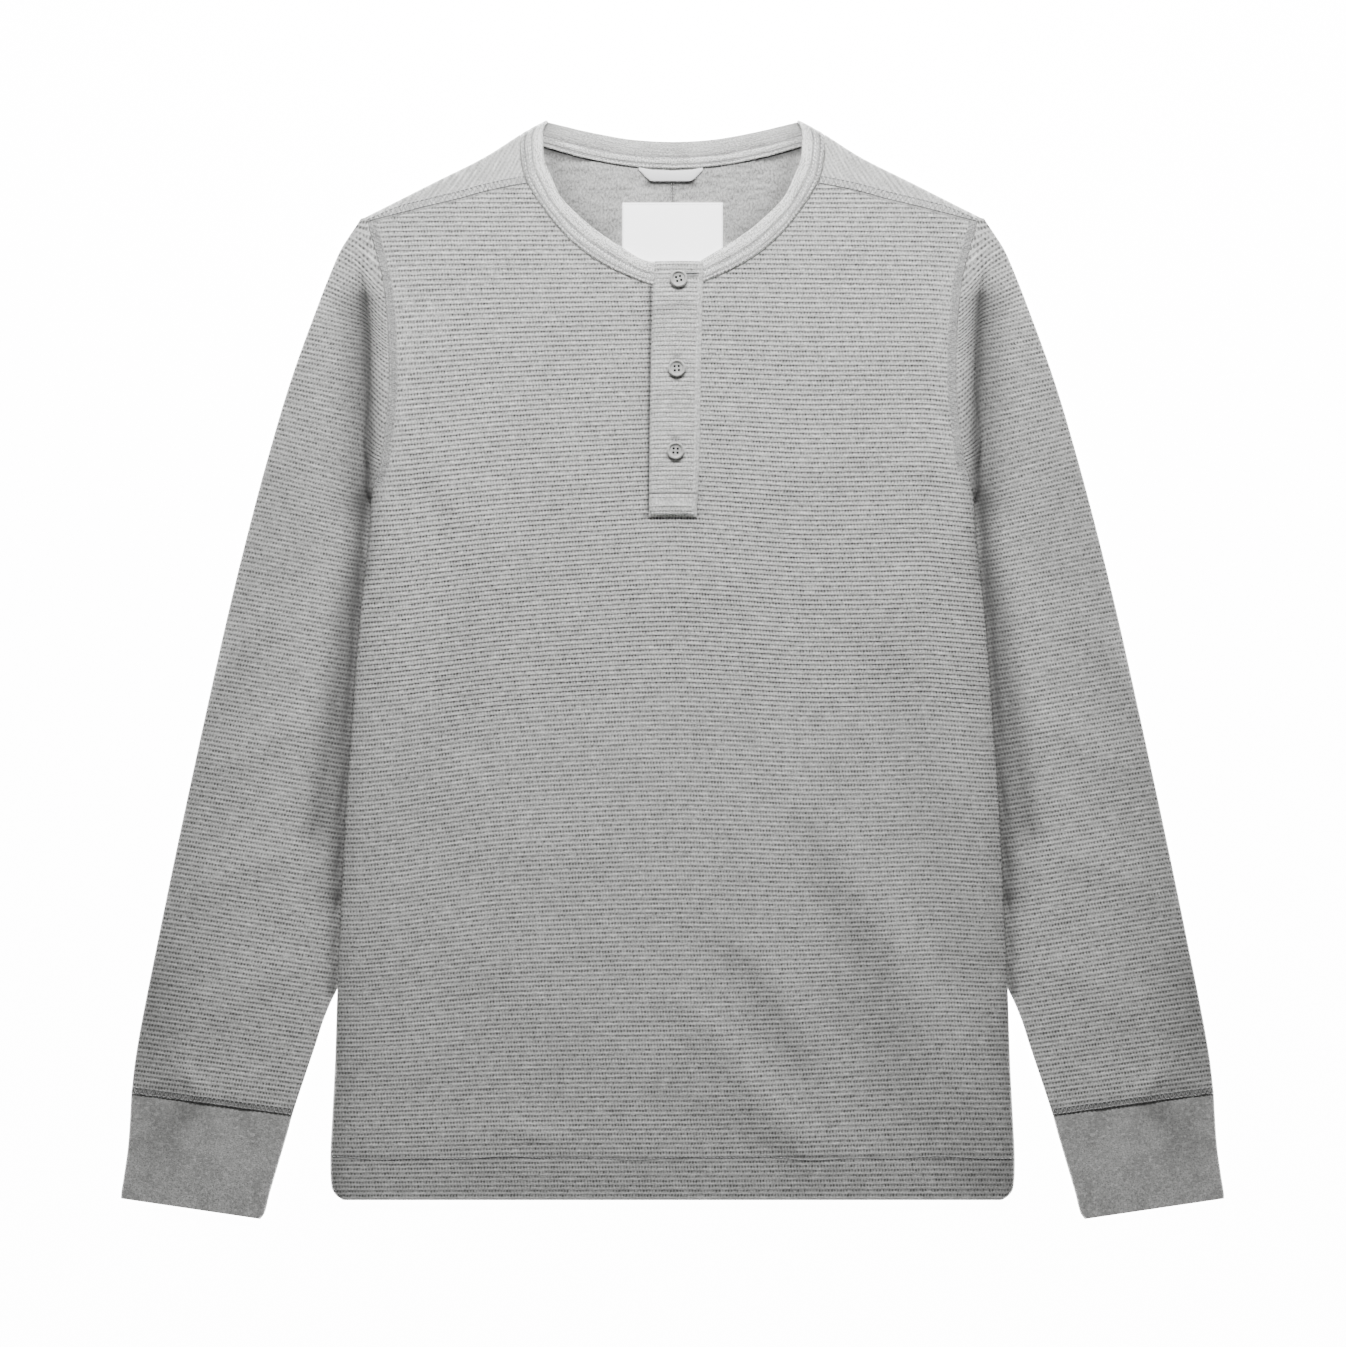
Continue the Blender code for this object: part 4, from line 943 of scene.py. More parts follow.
@dataclass
class Cuff:
    """One cuff: a plain knit tube pressed flat, open at both ends, a little drawn in by its seam."""

    name: str
    mirror: bool
    rows: int = 48
    columns: int = 40
    inner_rows: int = 7
    inner_columns: int = 8
    length: float = 68.0

    def ring(self, share: float, inset: float) -> tuple[list[Point], list[Mark]]:
        """One closed ring of points.

        Args:
            share: Share of the cuff's length, from its seam.
            inset: 0 for the outside, the wall's thickness for the inside.

        Returns:
            The ring's points and marks.
        """
        x0, y0, x1, y1 = (curve_at([(row[0], row[n]) for row in CUFF], share) for n in range(1, 5))
        width = math.dist((x0, y0), (x1, y1))
        half = FLAT / 2 - inset
        outside = inset == 0
        count = self.columns if outside else self.inner_columns
        turns = [math.pi / 8 * n for n in range(5)]
        corner = [(inset + half * (1 - math.cos(turn)), FLAT / 2 + half * math.sin(turn)) for turn in turns]
        start = corner[-1][0]
        upper = corner + [(mix(start, width - start, n / count), FLAT - inset) for n in range(1, count)]
        upper += [(width - d, z) for d, z in corner[::-1]]
        lower = [(d, inset) for d, _ in upper[-5::-1] if start <= d <= width - start]
        under = [(d, FLAT - z) for d, z in (corner[3], corner[2], corner[1])]
        below = [(width - d, z) for d, z in under[::-1]]
        below += [(width - start, inset), *lower[4:-4:4], (start, inset), *under]
        points = []
        for d, z in upper:
            along = d / width
            if outside and z > FLAT / 2:
                z += 0.5 * ease(0, 0.3, share) * ease(1, 0.75, share) * math.sin(math.pi * along) ** 0.5
                z -= 0.55 * ease(0.03, 0, share) * ease(0, 0.02, along) * ease(1, 0.98, along)
                wave = 0.34 * math.sin(9 * along + 2 * share)
                z += wave * ease(0.5, 0.02, share) * math.sin(math.pi * along)
            sway = 0.5 * math.sin(16 * along + 0.6) * ease(0.16, 0, share) * ease(0, 9, min(d, width - d))
            points.append((mix(x0, x1, along), mix(y0, y1, along) - abs(sway), z))
        points += [(*between((x0, y0), (x1, y1), d / width), z) for d, z in below]
        round_it = [d for d, _ in upper] + [2 * width - d for d, _ in below]
        return points, [(d, self.length * share) for d in round_it]

    def build(self, finish: Material) -> Object:
        """Makes the cuff."""
        cloth = Cloth(self.name, CUFF_SHADES)
        tubes = []
        for inset, count in ((0, self.rows), (WALL, self.inner_rows)):
            rings = [cloth.row(*self.ring(n / (count - 1), inset)) for n in range(count)]
            tubes.append([ring + ring[:1] for ring in rings])
            cloth.net(tubes[-1])
        for end in (0, -1):
            cloth.zip(tubes[0][end], tubes[1][end])
        return cloth.build([finish], self.mirror)


# ---------------------------------------------------------------- the neck

# Strips' sections: share across, height in thicknesses and painted shade (darker in the grooves and at the
# edges), round from the inner edge over the outside
BAND_SECTION = (
    (0, 0.1, 0.7), (0.012, 0.34, 0.8), (0.05, 0.5, 0.95), (0.16, 0.62, 1), (0.32, 0.64, 1), (0.42, 0.56, 1),
    (0.47, 0.36, 0.62), (0.5, 0.24, 0.34), (0.53, 0.32, 0.66), (0.57, 0.4, 1), (0.66, 0.42, 1),
    (0.74, 0.4, 0.9), (0.78, 0.32, 0.6), (0.82, 0.24, 0.36), (0.86, 0.32, 0.75), (0.93, 0.34, 0.9),
    (0.985, 0.12, 0.55), (1, -0.1, 0.4), (0.985, -0.4, 0.35), (0.9, -0.5, 0.5), (0.5, -0.5, 0.5),
    (0.1, -0.5, 0.5), (0.012, -0.4, 0.5),
)
BACK_SECTION = (
    (0, 0.1, 0.9), (0.012, 0.36, 1),
    *((share, 0.5, 1) for share in (0.06, 0.3, 0.6, 0.7, 0.75, 0.8, 0.85, 0.9, 0.94)), (0.97, 0.45, 1),
    (0.988, 0.36, 1), (0.995, 0.2, 1), (1, 0.1, 0.8), (1, 0, 0.8), (0.995, -0.3, 0.6), (0.8, -0.45, 0.7),
    (0.68, -0.46, 0.55), (0.6, -0.6, 0.78), (0.3, -0.66, 0.84), (0.08, -0.5, 0.9), (0.012, -0.36, 0.8),
)
TAPE_SECTION = (
    (0, 0, 0.16), (0.05, 0.2, 0.2), (0.1, 0.36, 0.4), (0.17, 0.54, 1), (0.4, 0.56, 1.05), (0.56, 0.46, 0.9),
    (0.61, 0.28, 0.3), (0.66, 0.24, 0.2), (0.71, 0.4, 0.7), (0.84, 0.54, 1.1), (0.95, 0.4, 0.8), (1, 0, 0.3),
    (0.98, -0.4, 0.3), (0.5, -0.5, 0.4), (0.02, -0.4, 0.4),
)
LOOP_SECTION = (
    (0, 0, 1), (0.02, 0.3, 1), (0.07, 0.48, 1), (0.5, 0.5, 1), (0.93, 0.48, 1), (0.98, 0.3, 1), (1, 0, 1),
    (0.98, -0.4, 1), (0.5, -0.5, 1), (0.02, -0.4, 1),
)


@dataclass(frozen=True)
class Station:
    """One place on a strip of cloth: two edges, middle height, thickness and outward direction."""

    inner: Spot
    outer: Spot
    z: float
    thick: float
    normal: Point = (0, 0, 1)
    turned: float = 0  # 0 uses the first section, 1 the second
    # painted shade of the whole section
    tone: float = 1  # of the whole section


def build_strip(
    name: str, stations: Sequence[Station], finish: Material, first: Table, second: Table = (),
) -> Object:
    """Makes a closed strip of cloth through its stations.

    Args:
        name: The piece's name.
        stations: Places along the strip.
        finish: Its material.
        first: Section, as rows of share across, height in thicknesses and painted shade.
        second: Section on the part that is turned over.

    Returns:
        The strip.
    """
    cloth = Cloth(name)
    rows = []
    lengths = distances([(*station.inner, station.z) for station in stations])
    for station, along in zip(stations, lengths):
        width = math.dist(station.inner, station.outer)
        points, painted_shades = [], []
        for one, two in zip(first, second or first):
            share, height, tone = (mix(a, b, station.turned) for a, b in zip(one, two))
            middle = (*between(station.inner, station.outer, share), station.z)
            points.append(tuple(m + n * height * station.thick for m, n in zip(middle, station.normal)))
            # painted shade: the section's value times the station's
            painted_shades.append(station.tone * tone)
        ring = cloth.row(points, [(along, spot[0] * width) for spot in first])
        cloth.painted_shades.update(zip(ring, painted_shades))
        rows.append(ring + ring[:1])
    cloth.net(rows)
    for end in (rows[0], rows[-1]):
        cloth.face(*end[:-1])
    return cloth.build([finish])


@dataclass
class Neck:
    """Neckband, the tape inside it, the hanger loop and the bare label."""

    front_thick: float = 1.7
    steps: int = 64
    fold_steps: int = 8
    back_steps: int = 30
    label_columns: int = 34
    label_rows: int = 24

    def band_half(self, side: int) -> list[Station]:
        """Stations of one half, from its end at the placket to the middle of the back."""
        high, low = LEVEL_2 + self.front_thick / 2, WALL / 2
        half = []
        for n in range(self.steps + 1):
            (xi, yi), (xo, yo) = (path_at(edge, n / self.steps) for edge in BAND_EDGES[side])
            wave = 0.05 * math.sin(0.55 * n + side) * ease(0, 12, n)
            z = collar_lift(0.5 * (xi + xo), 0.5 * (yi + yo)) + high + wave
            half.append(Station((side * xi, yi), (side * xo, yo), z, self.front_thick))
        radius = (high - low) / 2
        away_x, away_y = SHOULDER_AWAY
        for n in range(1, self.fold_steps):
            share = n / self.fold_steps
            sine, cosine = math.sin(math.pi * share), math.cos(math.pi * share)
            reach = radius * sine
            folds = (BACK_INNER[0], BACK_OUTER[0])
            ends = [(side * (x + away_x * reach), y + away_y * reach) for x, y in folds]
            thick = mix(self.front_thick, WALL, share)
            normal = (side * away_x * sine, away_y * sine, cosine)
            half.append(Station(*ends, (high + low) / 2 + radius * cosine, thick, normal, share))
        for n in range(self.back_steps + (side > 0)):
            (xi, yi), (xo, yo) = (path_at(edge, n / self.back_steps) for edge in (BACK_INNER, BACK_OUTER))
            # painted shade: the back of the band is darker, most of all towards its ends by the shoulder
            # folds
            tone = mix(0.26, 0.72, ease(90, 62, xi))
            half.append(Station((side * xi, yi), (side * xo, yo), low, WALL, (0, 0, -1), 1, tone))
        return half

    def band(self, finish: Material) -> Object:
        """Makes the neckband: one strip right round the neck."""
        stations = self.band_half(1) + self.band_half(-1)[::-1]
        return build_strip("neckband_cloth", stations, finish, BAND_SECTION, BACK_SECTION)

    def tape(self, finish: Material) -> Object:
        """Makes the tape over the back neck seam."""
        stations = []
        for n in range(61):
            x = mix(-87, 87, n / 60)
            z = LEVEL_2 + TAPE_WALL / 2 + 0.06 * math.sin(0.7 * n)
            # painted shade: the tape is darker towards its ends, where the band's folds shade it
            tone = mix(0.4, 0.8, ease(88, 64, abs(x)))
            top, low = ((x, curve_at(edge, abs(x))) for edge in (TAPE_TOP, TAPE_LOW))
            stations.append(Station(top, low, z, TAPE_WALL, tone=tone))
        return build_strip("neck_tape_cloth", stations, finish, TAPE_SECTION)

    def loop(self, finish: Material) -> Object:
        """Makes the hanger loop: its ends go up behind the tape and its middle stands a little proud."""
        (x_a, y_a), (x_b, y_b), (x_c, y_c), (x_d, y_d) = LOOP
        stations = []
        for n in range(41):
            x = mix(x_a, x_d, n / 40)
            rise = ease(x_a, x_b + 2, x) * ease(x_d, x_c - 2, x)
            low = y_b
            if x < x_b:
                low = mix(y_a - 1, y_b, (x - x_a) / (x_b - x_a))
            elif x > x_c:
                low = mix(y_c, y_d - 1, (x - x_c) / (x_d - x_c))
            low += 0.5 * ease(2.5, 0, min(abs(x - x_b), abs(x - x_c)))
            top = curve_at(TAPE_LOW, abs(x)) - SEAM_GAP - 1.2 * rise
            stations.append(Station((x, top), (x, low), LEVEL_2 + 0.95 * rise + 0.5, 1))
        return build_strip("hanger_loop_cloth", stations, finish, LOOP_SECTION)

    def label(self, finish: Material) -> Object:
        """Makes the bare label: its edges are folded under, and it lies in a shallow wave."""
        cloth = Cloth("label_cloth")
        columns, rows = self.label_columns, self.label_rows
        grids = []
        for thick in (0.95, 0):
            grid = []
            for r in range(rows + 1):
                points = []
                for c in range(columns + 1):
                    across = ease(-0.08, 1.08, c / columns) * 1.018 - 0.009
                    x, y = mix(-LABEL_HALF_WIDTH, LABEL_HALF_WIDTH, across), mix(*LABEL_Y, r / rows)
                    edge = min(c, columns - c, r, rows - r)
                    z = LEVEL_2 + thick * {0: 0.45, 1: 0.88}.get(edge, 1)
                    if thick:
                        z += 0.22 * math.sin(x / 11 + y / 30) * ease(0, 4, edge)
                    points.append((x, y, z))
                grid.append(cloth.row(points, [(x, y) for x, y, _ in points]))
            cloth.net(grid)
            grids.append(grid)
        for end in (0, -1):
            cloth.zip(grids[0][end], grids[1][end])
        cloth.zip_ends(*grids, [0, -1])
        return cloth.build([finish])


# ---------------------------------------------------------------- placket and buttons


def placket_edge_x(y: float, inset: float = 0) -> Spot:
    """Left and right edge of the placket at a height, or places some way inside them."""
    return inset - placket_x(y, -1), placket_x(y, 1) - inset


@dataclass
class Placket:
    """Both sides of the front opening: a ribbed upper strip with a boxed foot, and the strip under it."""

    columns: int = 22
    rows_per_rib: int = 4
    rib: float = 2.95

    def top_z(self, x: float, y: float) -> float:
        """Height of the upper strip's outside, without its ribs."""
        left, right = placket_edge_x(y)
        z = front_base(0, y) + PLACKET_BASE + WALL
        if left < x < right:
            z += 0.5 * math.sin(math.pi * (x - left) / (right - left)) ** 0.6
        z -= 0.28 * math.exp(-(((x - right + 1.9) / 0.7) ** 2))
        for bx, by in BUTTON_PLACES:
            reach = math.hypot(x - bx, (y - by) * 0.75)
            z -= 0.42 * math.exp(-((reach / 7.5) ** 2)) - 0.2 * math.exp(-(((reach - 13) / 6) ** 2))
        if y < PLACKET_BOX_Y:
            z += 0.55 * ease(PLACKET_BOX_Y, PLACKET_BOX_Y - 1.4, y)
            z -= 0.25 * math.exp(-(((y - PLACKET_BOTTOM_Y - 3.4) / 0.8) ** 2))
        return z

    def bow(self, share: float) -> float:
        """How far a rib bows up at a share of the strip's width."""
        return 0.35 * math.sin(math.pi * share)

    def top(self, finish: Material, smooth_finish: Material) -> Object:
        """Makes the upper strip.

        Args:
            finish: Ribbed finish.
            smooth_finish: Finish of its folded edge and foot.

        Returns:
            The strip.
        """
        cloth = Cloth("placket_top_cloth", PLACKET_SHADES)
        rows_per_mm = self.rows_per_rib / self.rib
        count = round((PLACKET_TOP_Y - PLACKET_BOTTOM_Y) * rows_per_mm)
        inside = [mix(0.07, 0.93, k / self.columns) for k in range(self.columns + 1)]
        shares = [0, 0.004, 0.018, 0.04, *inside, 0.96, 0.982, 0.996, 1]
        plain_shares = (0, 0.25, 0.5, 0.75, 1)
        outer, inner = [], []
        for n in range(count + 1):
            y = mix(PLACKET_BOTTOM_Y, PLACKET_TOP_Y, n / count)
            left, right = placket_edge_x(y)
            base = front_base(0, y) + PLACKET_BASE
            rib = n / self.rows_per_rib
            ribbed = ease(PLACKET_BOX_Y - 5.5, PLACKET_BOX_Y - 7.5, y) if y < PLACKET_BOX_Y - 0.5 else 1
            rounded = 0.35 + 0.65 * ease(0, 3, n) * ease(count, count - 3, n)
            points = []
            for share in shares:
                x = mix(left, right, share)
                edge = min(share, 1 - share)
                relief = rib_profile(rib) * ribbed * ease(0, 0.05, edge)
                relief *= ease(1.2, 3.4, right - x) * 0.75 + 0.25
                z = mix(base + 0.35, self.top_z(x, y) + relief, ease(0, 0.03, edge))
                points.append((x, y + self.bow(share), mix(base + 0.7, z, rounded)))
            outer.append(cloth.row(points, [(x, rib) for x, _, _ in points]))
            if n % 16 == 0 or n == count:
                plain = [(mix(left, right, share), y + self.bow(share), base) for share in plain_shares]
                inner.append(cloth.row(plain))
        low, high = (round((PLACKET_BOX_Y - down - PLACKET_BOTTOM_Y) * rows_per_mm) for down in (6.4, 0))
        ribs = len(shares) - 6
        for rows, smooth in ((outer[: low + 1], 0), (outer[low : high + 1], 1), (outer[high:], 0)):
            cloth.net([row[: ribs + 1] for row in rows], smooth)
            cloth.net([row[ribs:] for row in rows], 1)
        cloth.net(inner)
        cloth.zip_ends(outer, inner, [0, -1])
        for end in (0, -1):
            cloth.zip(outer[end], inner[end])
        return cloth.build([finish, smooth_finish])

    def under(self, finish: Material) -> Object:
        """Makes the strip under the opening."""
        stations = []
        for n in range(41):
            y = mix(SLOT_BOTTOM_Y + 2, PLACKET_TOP_Y - 0.6, n / 40)
            left, right = placket_edge_x(y, SLOT_INSET + SEAM_GAP)
            stations.append(Station((left, y), (right, y), front_base(0, y) + LEVEL_2 + WALL / 2, WALL))
        return build_strip("placket_under_cloth", stations, finish, TAPE_SECTION)


def select_only(piece: Object | None = None) -> None:
    """Selects one piece and makes it the active one, or selects nothing."""
    bpy.ops.object.select_all(action="DESELECT")
    if piece:
        piece.select_set(True)
        bpy.context.view_layer.objects.active = piece


@dataclass
class Button:
    """One turned button with a raised rim and four thread holes."""

    number: int
    x: float
    y: float
    tilt: tuple[float, float]  # degrees
    spin: float  # degrees
    sides: int = 48
    hole_spacing: float = 2.7
    hole_radius: float = 0.86
    profile: tuple[tuple[float, float], ...] = (  # radius, height
        (0.05, 1), (2.7, 1.02), (3.6, 1.14), (4.1, 1.7), (4.4, 2.14), (4.85, 2.3), (5.35, 2.18), (5.66, 1.8),
        (5.75, 1.4), (5.75, 0.95), (5.5, 0.5), (4.8, 0.15), (3.4, 0), (0.05, 0),
    )

    def centre(self) -> Point:
        """Middle of the button's underside."""
        return self.x, self.y, front_base(0, self.y) + PLACKET_BASE + WALL + RIB_HEIGHT + SEAM_GAP

    def turned(self) -> Object:
        """Makes the profile turned round the button's axis."""
        bpy.ops.object.select_all(action="DESELECT")
        (radius, height), *rest = self.profile
        bpy.ops.mesh.primitive_circle_add(vertices=self.sides, radius=radius * MM, fill_type="NGON")
        button = bpy.context.object
        button.name = button.data.name = f"button_{self.number}_turned"
        bpy.ops.object.mode_set(mode="EDIT")
        bpy.ops.mesh.select_all(action="SELECT")
        bpy.ops.transform.translate(value=(0, 0, height * MM))
        bpy.ops.mesh.delete(type="ONLY_FACE")
        bpy.ops.mesh.select_all(action="SELECT")
        for next_radius, next_height in rest:
            rise = (next_height - height) * MM
            bpy.ops.mesh.extrude_region_move(TRANSFORM_OT_translate={"value": (0, 0, rise)})
            factor = next_radius / radius
            bpy.ops.transform.resize(value=(factor, factor, 1), center_override=(0, 0, next_height * MM))
            radius, height = next_radius, next_height
        bpy.ops.mesh.fill()
        bpy.ops.mesh.select_all(action="DESELECT")
        bpy.ops.object.mode_set(mode="OBJECT")
        shape = bmesh.new()
        shape.from_mesh(button.data)
        bmesh.ops.holes_fill(shape, edges=shape.edges, sides=self.sides)
        bmesh.ops.recalc_face_normals(shape, faces=shape.faces)
        shape.to_mesh(button.data)
        shape.free()
        return button

    def drill(self, button: Object, x: float, y: float) -> None:
        """Cuts one thread hole through the button."""
        bpy.ops.object.select_all(action="DESELECT")
        bpy.ops.mesh.primitive_cylinder_add(
            vertices=12, radius=self.hole_radius * MM, depth=8 * MM, location=(x * MM, y * MM, 0),
        )
        drill = bpy.context.object
        cut = button.modifiers.new("hole", "BOOLEAN")
        cut.operation, cut.solver, cut.object = "DIFFERENCE", "EXACT", drill
        select_only(button)
        bpy.ops.object.modifier_apply(modifier=cut.name)
        bpy.data.objects.remove(drill)

    def build(self, finish: Material) -> Object:
        """Turns the button, cuts its holes and sets it in its place."""
        button = self.turned()
        for hole_x, hole_y in ((1, 1), (-1, 1), (-1, -1), (1, -1)):
            self.drill(button, hole_x * self.hole_spacing / 2, hole_y * self.hole_spacing / 2)
        turn = Euler([math.radians(angle) for angle in (*self.tilt, self.spin)])
        button.data.transform(Matrix.Translation(Vector(self.centre()) * MM) @ turn.to_matrix().to_4x4())
        button.data.materials.append(finish)
        select_only(button)
        bpy.ops.object.shade_smooth_by_angle(angle=math.radians(40))
        return button


# ---------------------------------------------------------------- sewing

Path = Callable[[float], Point]


@dataclass
class Sewing:
    """Collects stitches, then makes them one mesh."""

    name: str
    radius: float = 0.28
    points: list[Point] = field(default_factory=list)
    faces: list[tuple[int, ...]] = field(default_factory=list)
    sides: int = 5
    arch: Table = ((0, 0.35, -0.2), (0.14, 0.9, 0.5), (0.5, 1, 1), (0.86, 0.9, 0.5), (1, 0.35, -0.2))

    def stitch(self, start: Point, end: Point, bulge: float = 0.16, radius: float = 0) -> None:
        """Adds one stitch: a short thread that comes out of the cloth, arches over it and goes back in."""
        radius = radius or self.radius
        a, b = Vector(start), Vector(end)
        along = (b - a).normalized()
        across = along.cross(Vector((0, 0, 1))).normalized()
        up = across.cross(along)
        rings = []
        for share, scale, rise in self.arch:
            centre = a.lerp(b, share) + up * (rise * bulge)
            first = len(self.points)
            for n in range(self.sides):
                turn = 2 * math.pi * n / self.sides
                away = across * math.cos(turn) + up * math.sin(turn)
                self.points.append(tuple(centre + away * (radius * scale)))
            rings.append(tuple(range(first, first + self.sides)))
        for low, high in pairwise(rings):
            for n in range(self.sides):
                m = (n + 1) % self.sides
                self.faces.append((low[n], low[m], high[m], high[n]))
        self.faces += [rings[0][::-1], rings[-1]]

    def line(self, path: Path, length: float, pitch: float = 3, share: float = 0.72) -> None:
        """Adds a row of stitches along a path.

        Args:
            path: The path, by its share.
            length: The path's length.
            pitch: From one stitch to the next.
            share: How much of the pitch a stitch takes up.
        """
        count = round(length / pitch)
        for n in range(count):
            self.stitch(path(n / count), path((n + share) / count))

    def cover(self, row: Callable[..., Point], side: int, one: float, two: float, length: float) -> None:
        """Adds a coverstitch: two rows of stitches, and threads that cross to and fro between them.

        Args:
            row: Path that also takes a side and a distance.
            side: The shirt's side, -1 or 1.
            one: Distance of the first row.
            two: Distance of the second row.
            length: The rows' length.
        """
        first, second = partial(row, side, one), partial(row, side, two)
        self.line(first, length)
        self.line(second, length)
        count = round(length / 2.9)
        for n in range(count):
            middle = second((n + 0.5) / count)
            self.stitch(first(n / count), middle, 0.1, 0.17)
            self.stitch(middle, first((n + 1) / count), 0.1, 0.17)

    def build(self, finish: Material) -> Object:
        """Makes the stitches' mesh."""
        mesh = bpy.data.meshes.new(self.name)
        mesh.from_pydata([(x * MM, y * MM, z * MM) for x, y, z in self.points], [], self.faces)
        return show(mesh, finish)


def armhole_row(side: int, inward: float, share: float) -> Point:
    """Point on a row some way in from the armhole seam, at a share of the way up."""
    y = mix(ARMPIT_Y + 3, 294, share)
    x = side_x(y) - inward
    return side * x, y, front_base(x, y) + FLAT + 0.42


def yoke_row(side: int, up: float, share: float) -> Point:
    """Point on a row some way up from the forward seam, at a share of the way from the neck."""
    fold, seam = path_at(SHOULDER, share), shoulder_seam(share)
    x, y = between(seam, fold, min(up / math.dist(fold, seam), 0.7))
    return side * x, y, front_base(x, y) + FLAT + 0.4


def band_row(side: int, across: float, share: float) -> Point:
    """Point on the front of the neckband, at a share of its width and of the way from the placket."""
    inner, outer = (path_at(edge, share) for edge in BAND_EDGES[side])
    x, y = between(inner, outer, across)
    return side * x, y, collar_lift(*between(inner, outer, 0.5)) + LEVEL_2 + 1.62


def cuff_row(side: int, above: float, share: float) -> Point:
    """Point on a row some way above the cuff seam, at a share of the way from the outer edge."""
    (x0, y0), (x1, y1) = CUFF[0][1:3], CUFF[0][3:5]
    away = Vector((y0 - y1, x1 - x0)).normalized() * -above
    x, y = mix(x0, x1, share) + away[0], mix(y0, y1, share) + away[1]
    return side * x, y, FLAT + fold_height(SLEEVE_FOLDS, x, y) + 0.45


def tape_row(across: float, share: float) -> Point:
    """Point on the neck tape, at a share of its width and of the way from its left end."""
    x = mix(-83, 83, share)
    return x, mix(curve_at(TAPE_TOP, abs(x)), curve_at(TAPE_LOW, abs(x)), across), LEVEL_2 + TAPE_WALL - 0.05


def hem_row(share: float) -> Point:
    """Point on the row across the front above the hem."""
    x = mix(-224, 224, share)
    y = HEM_STITCH_Y + 0.7 * math.sin(0.045 * x) + 0.5 * math.sin(0.11 * x + 1)
    top = front_base(x, y) + fold_height(BODY_FOLDS, x, y) + FLAT + hem_raise(y) + 0.8 * RIB_HEIGHT
    return x, y, top + 0.05


def straight_row(start: Point, end: Point, share: float) -> Point:
    """Point on a straight row."""
    return tuple(mix(a, b, share) for a, b in zip(start, end))


@dataclass
class Seams:
    """All the sewing that shows."""

    placket: Placket

    def body(self) -> Sewing:
        """Coverstitch along the armholes and shoulders, and the hem's row."""
        sewing = Sewing("sewing_body")
        for side in BOTH:
            sewing.cover(armhole_row, side, 1.1, 5.3, 180)
            sewing.cover(yoke_row, side, 0.1, 4.6, 108)
        sewing.line(hem_row, 448, 2.6)
        return sewing

    def neck(self) -> Sewing:
        """Coverstitch round the neckband, the tape's rows and the centre back's short row."""
        sewing = Sewing("sewing_neck")
        for side in BOTH:
            sewing.cover(band_row, side, 0.53, 0.92, 148)
        for across in (0.12, 0.72):
            sewing.line(partial(tape_row, across), 172)
        for x in (-0.6, 0.8):
            ends = ((x, y, WALL + 0.05) for y in (321, 308.6))
            sewing.line(partial(straight_row, *ends), 12.4, 2.2, 0.6)
        return sewing

    def label(self) -> Sewing:
        """Small stitches round the label."""
        sewing = Sewing("sewing_label", 0.13)
        edge = LABEL_HALF_WIDTH - 1.1
        low, high, z = LABEL_Y[0] + 1.1, LABEL_Y[1] - 1.1, LEVEL_2 + 0.98
        for start, end in pairwise(((-edge, low, z), (-edge, high, z), (edge, high, z), (edge, low, z))):
            sewing.line(partial(straight_row, start, end), math.dist(start, end), 2.4)
        return sewing

    def cuff(self, name: str, side: int) -> Sewing:
        """Coverstitch above one cuff's seam."""
        sewing = Sewing(name)
        sewing.cover(cuff_row, side, 1, 4.6, 107)
        return sewing

    def on_placket(self, x: float, y: float, lift: float = 0.42) -> Point:
        """Point on the placket's outside."""
        return x, y, self.placket.top_z(x, y) + lift

    def placket_row(self, start: Spot, end: Spot, lift: float, share: float) -> Point:
        """Point on a straight row on the placket."""
        return self.on_placket(*between(start, end, share), lift)

    def edge_row(self, share: float) -> Point:
        """Point on the row by the placket's right edge."""
        y = mix(PLACKET_BOX_Y + 1, 262, share)
        return self.on_placket(placket_x(y, 1) - 1.9, y)

    def opening(self) -> Sewing:
        """The placket's edge and box rows, and its buttonholes."""
        sewing = Sewing("sewing_placket", 0.17)
        sewing.line(self.edge_row, 146, 2.6)
        for y in (PLACKET_BOTTOM_Y + 3.4, PLACKET_BOX_Y - 1.6):
            left, right = placket_edge_x(y, 1.4)
            sewing.line(partial(self.placket_row, (left, y), (right, y), 0.2), right - left, 2.4)
        for x in (-14, 14.4):
            sewing.line(partial(self.placket_row, (x, 104.5), (x, 113.2), 0.3), 8.7, 2.2)
        for x, y, level in ((12.6, 260.4, True), (2.8, 203.6, False), (2, 149.3, False)):
            for n in range(26):
                t = mix(-4.6, 4.6, n / 25)  # along the buttonhole
                for way in BOTH:
                    if level:
                        a, b = (x + t, y + way * 0.25), (x + t + 0.1, y + way * 1.5)
                    else:
                        a, b = (x + way * 0.25, y + t), (x + way * 1.5, y + t + 0.1)
                    sewing.stitch(self.on_placket(*a), self.on_placket(*b), 0.14)
        return sewing

    def buttons(self, buttons: Sequence[Button]) -> Sewing:
        """Threads that fill each button's holes; their near-black colour is painted shade in the holes."""
        sewing = Sewing("sewing_buttons", 0.8)
        for button in buttons:
            x, y, z = button.centre()
            reach = button.hole_spacing / math.sqrt(2)
            lean = Euler([math.radians(angle) for angle in (*button.tilt, 0)]).to_matrix()
            for angle in (45, 135, 225, 315):
                spin = math.radians(button.spin + angle)
                way_x, way_y = math.cos(spin), math.sin(spin)
                level = z + 0.62 + (lean @ Vector((reach * way_x, reach * way_y, 0)))[2]
                ends = [(x + far * way_x, y + far * way_y, level) for far in (reach - 0.7, reach + 0.7)]
                sewing.stitch(*ends, 0.05)
        return sewing


# ---------------------------------------------------------------- finishes


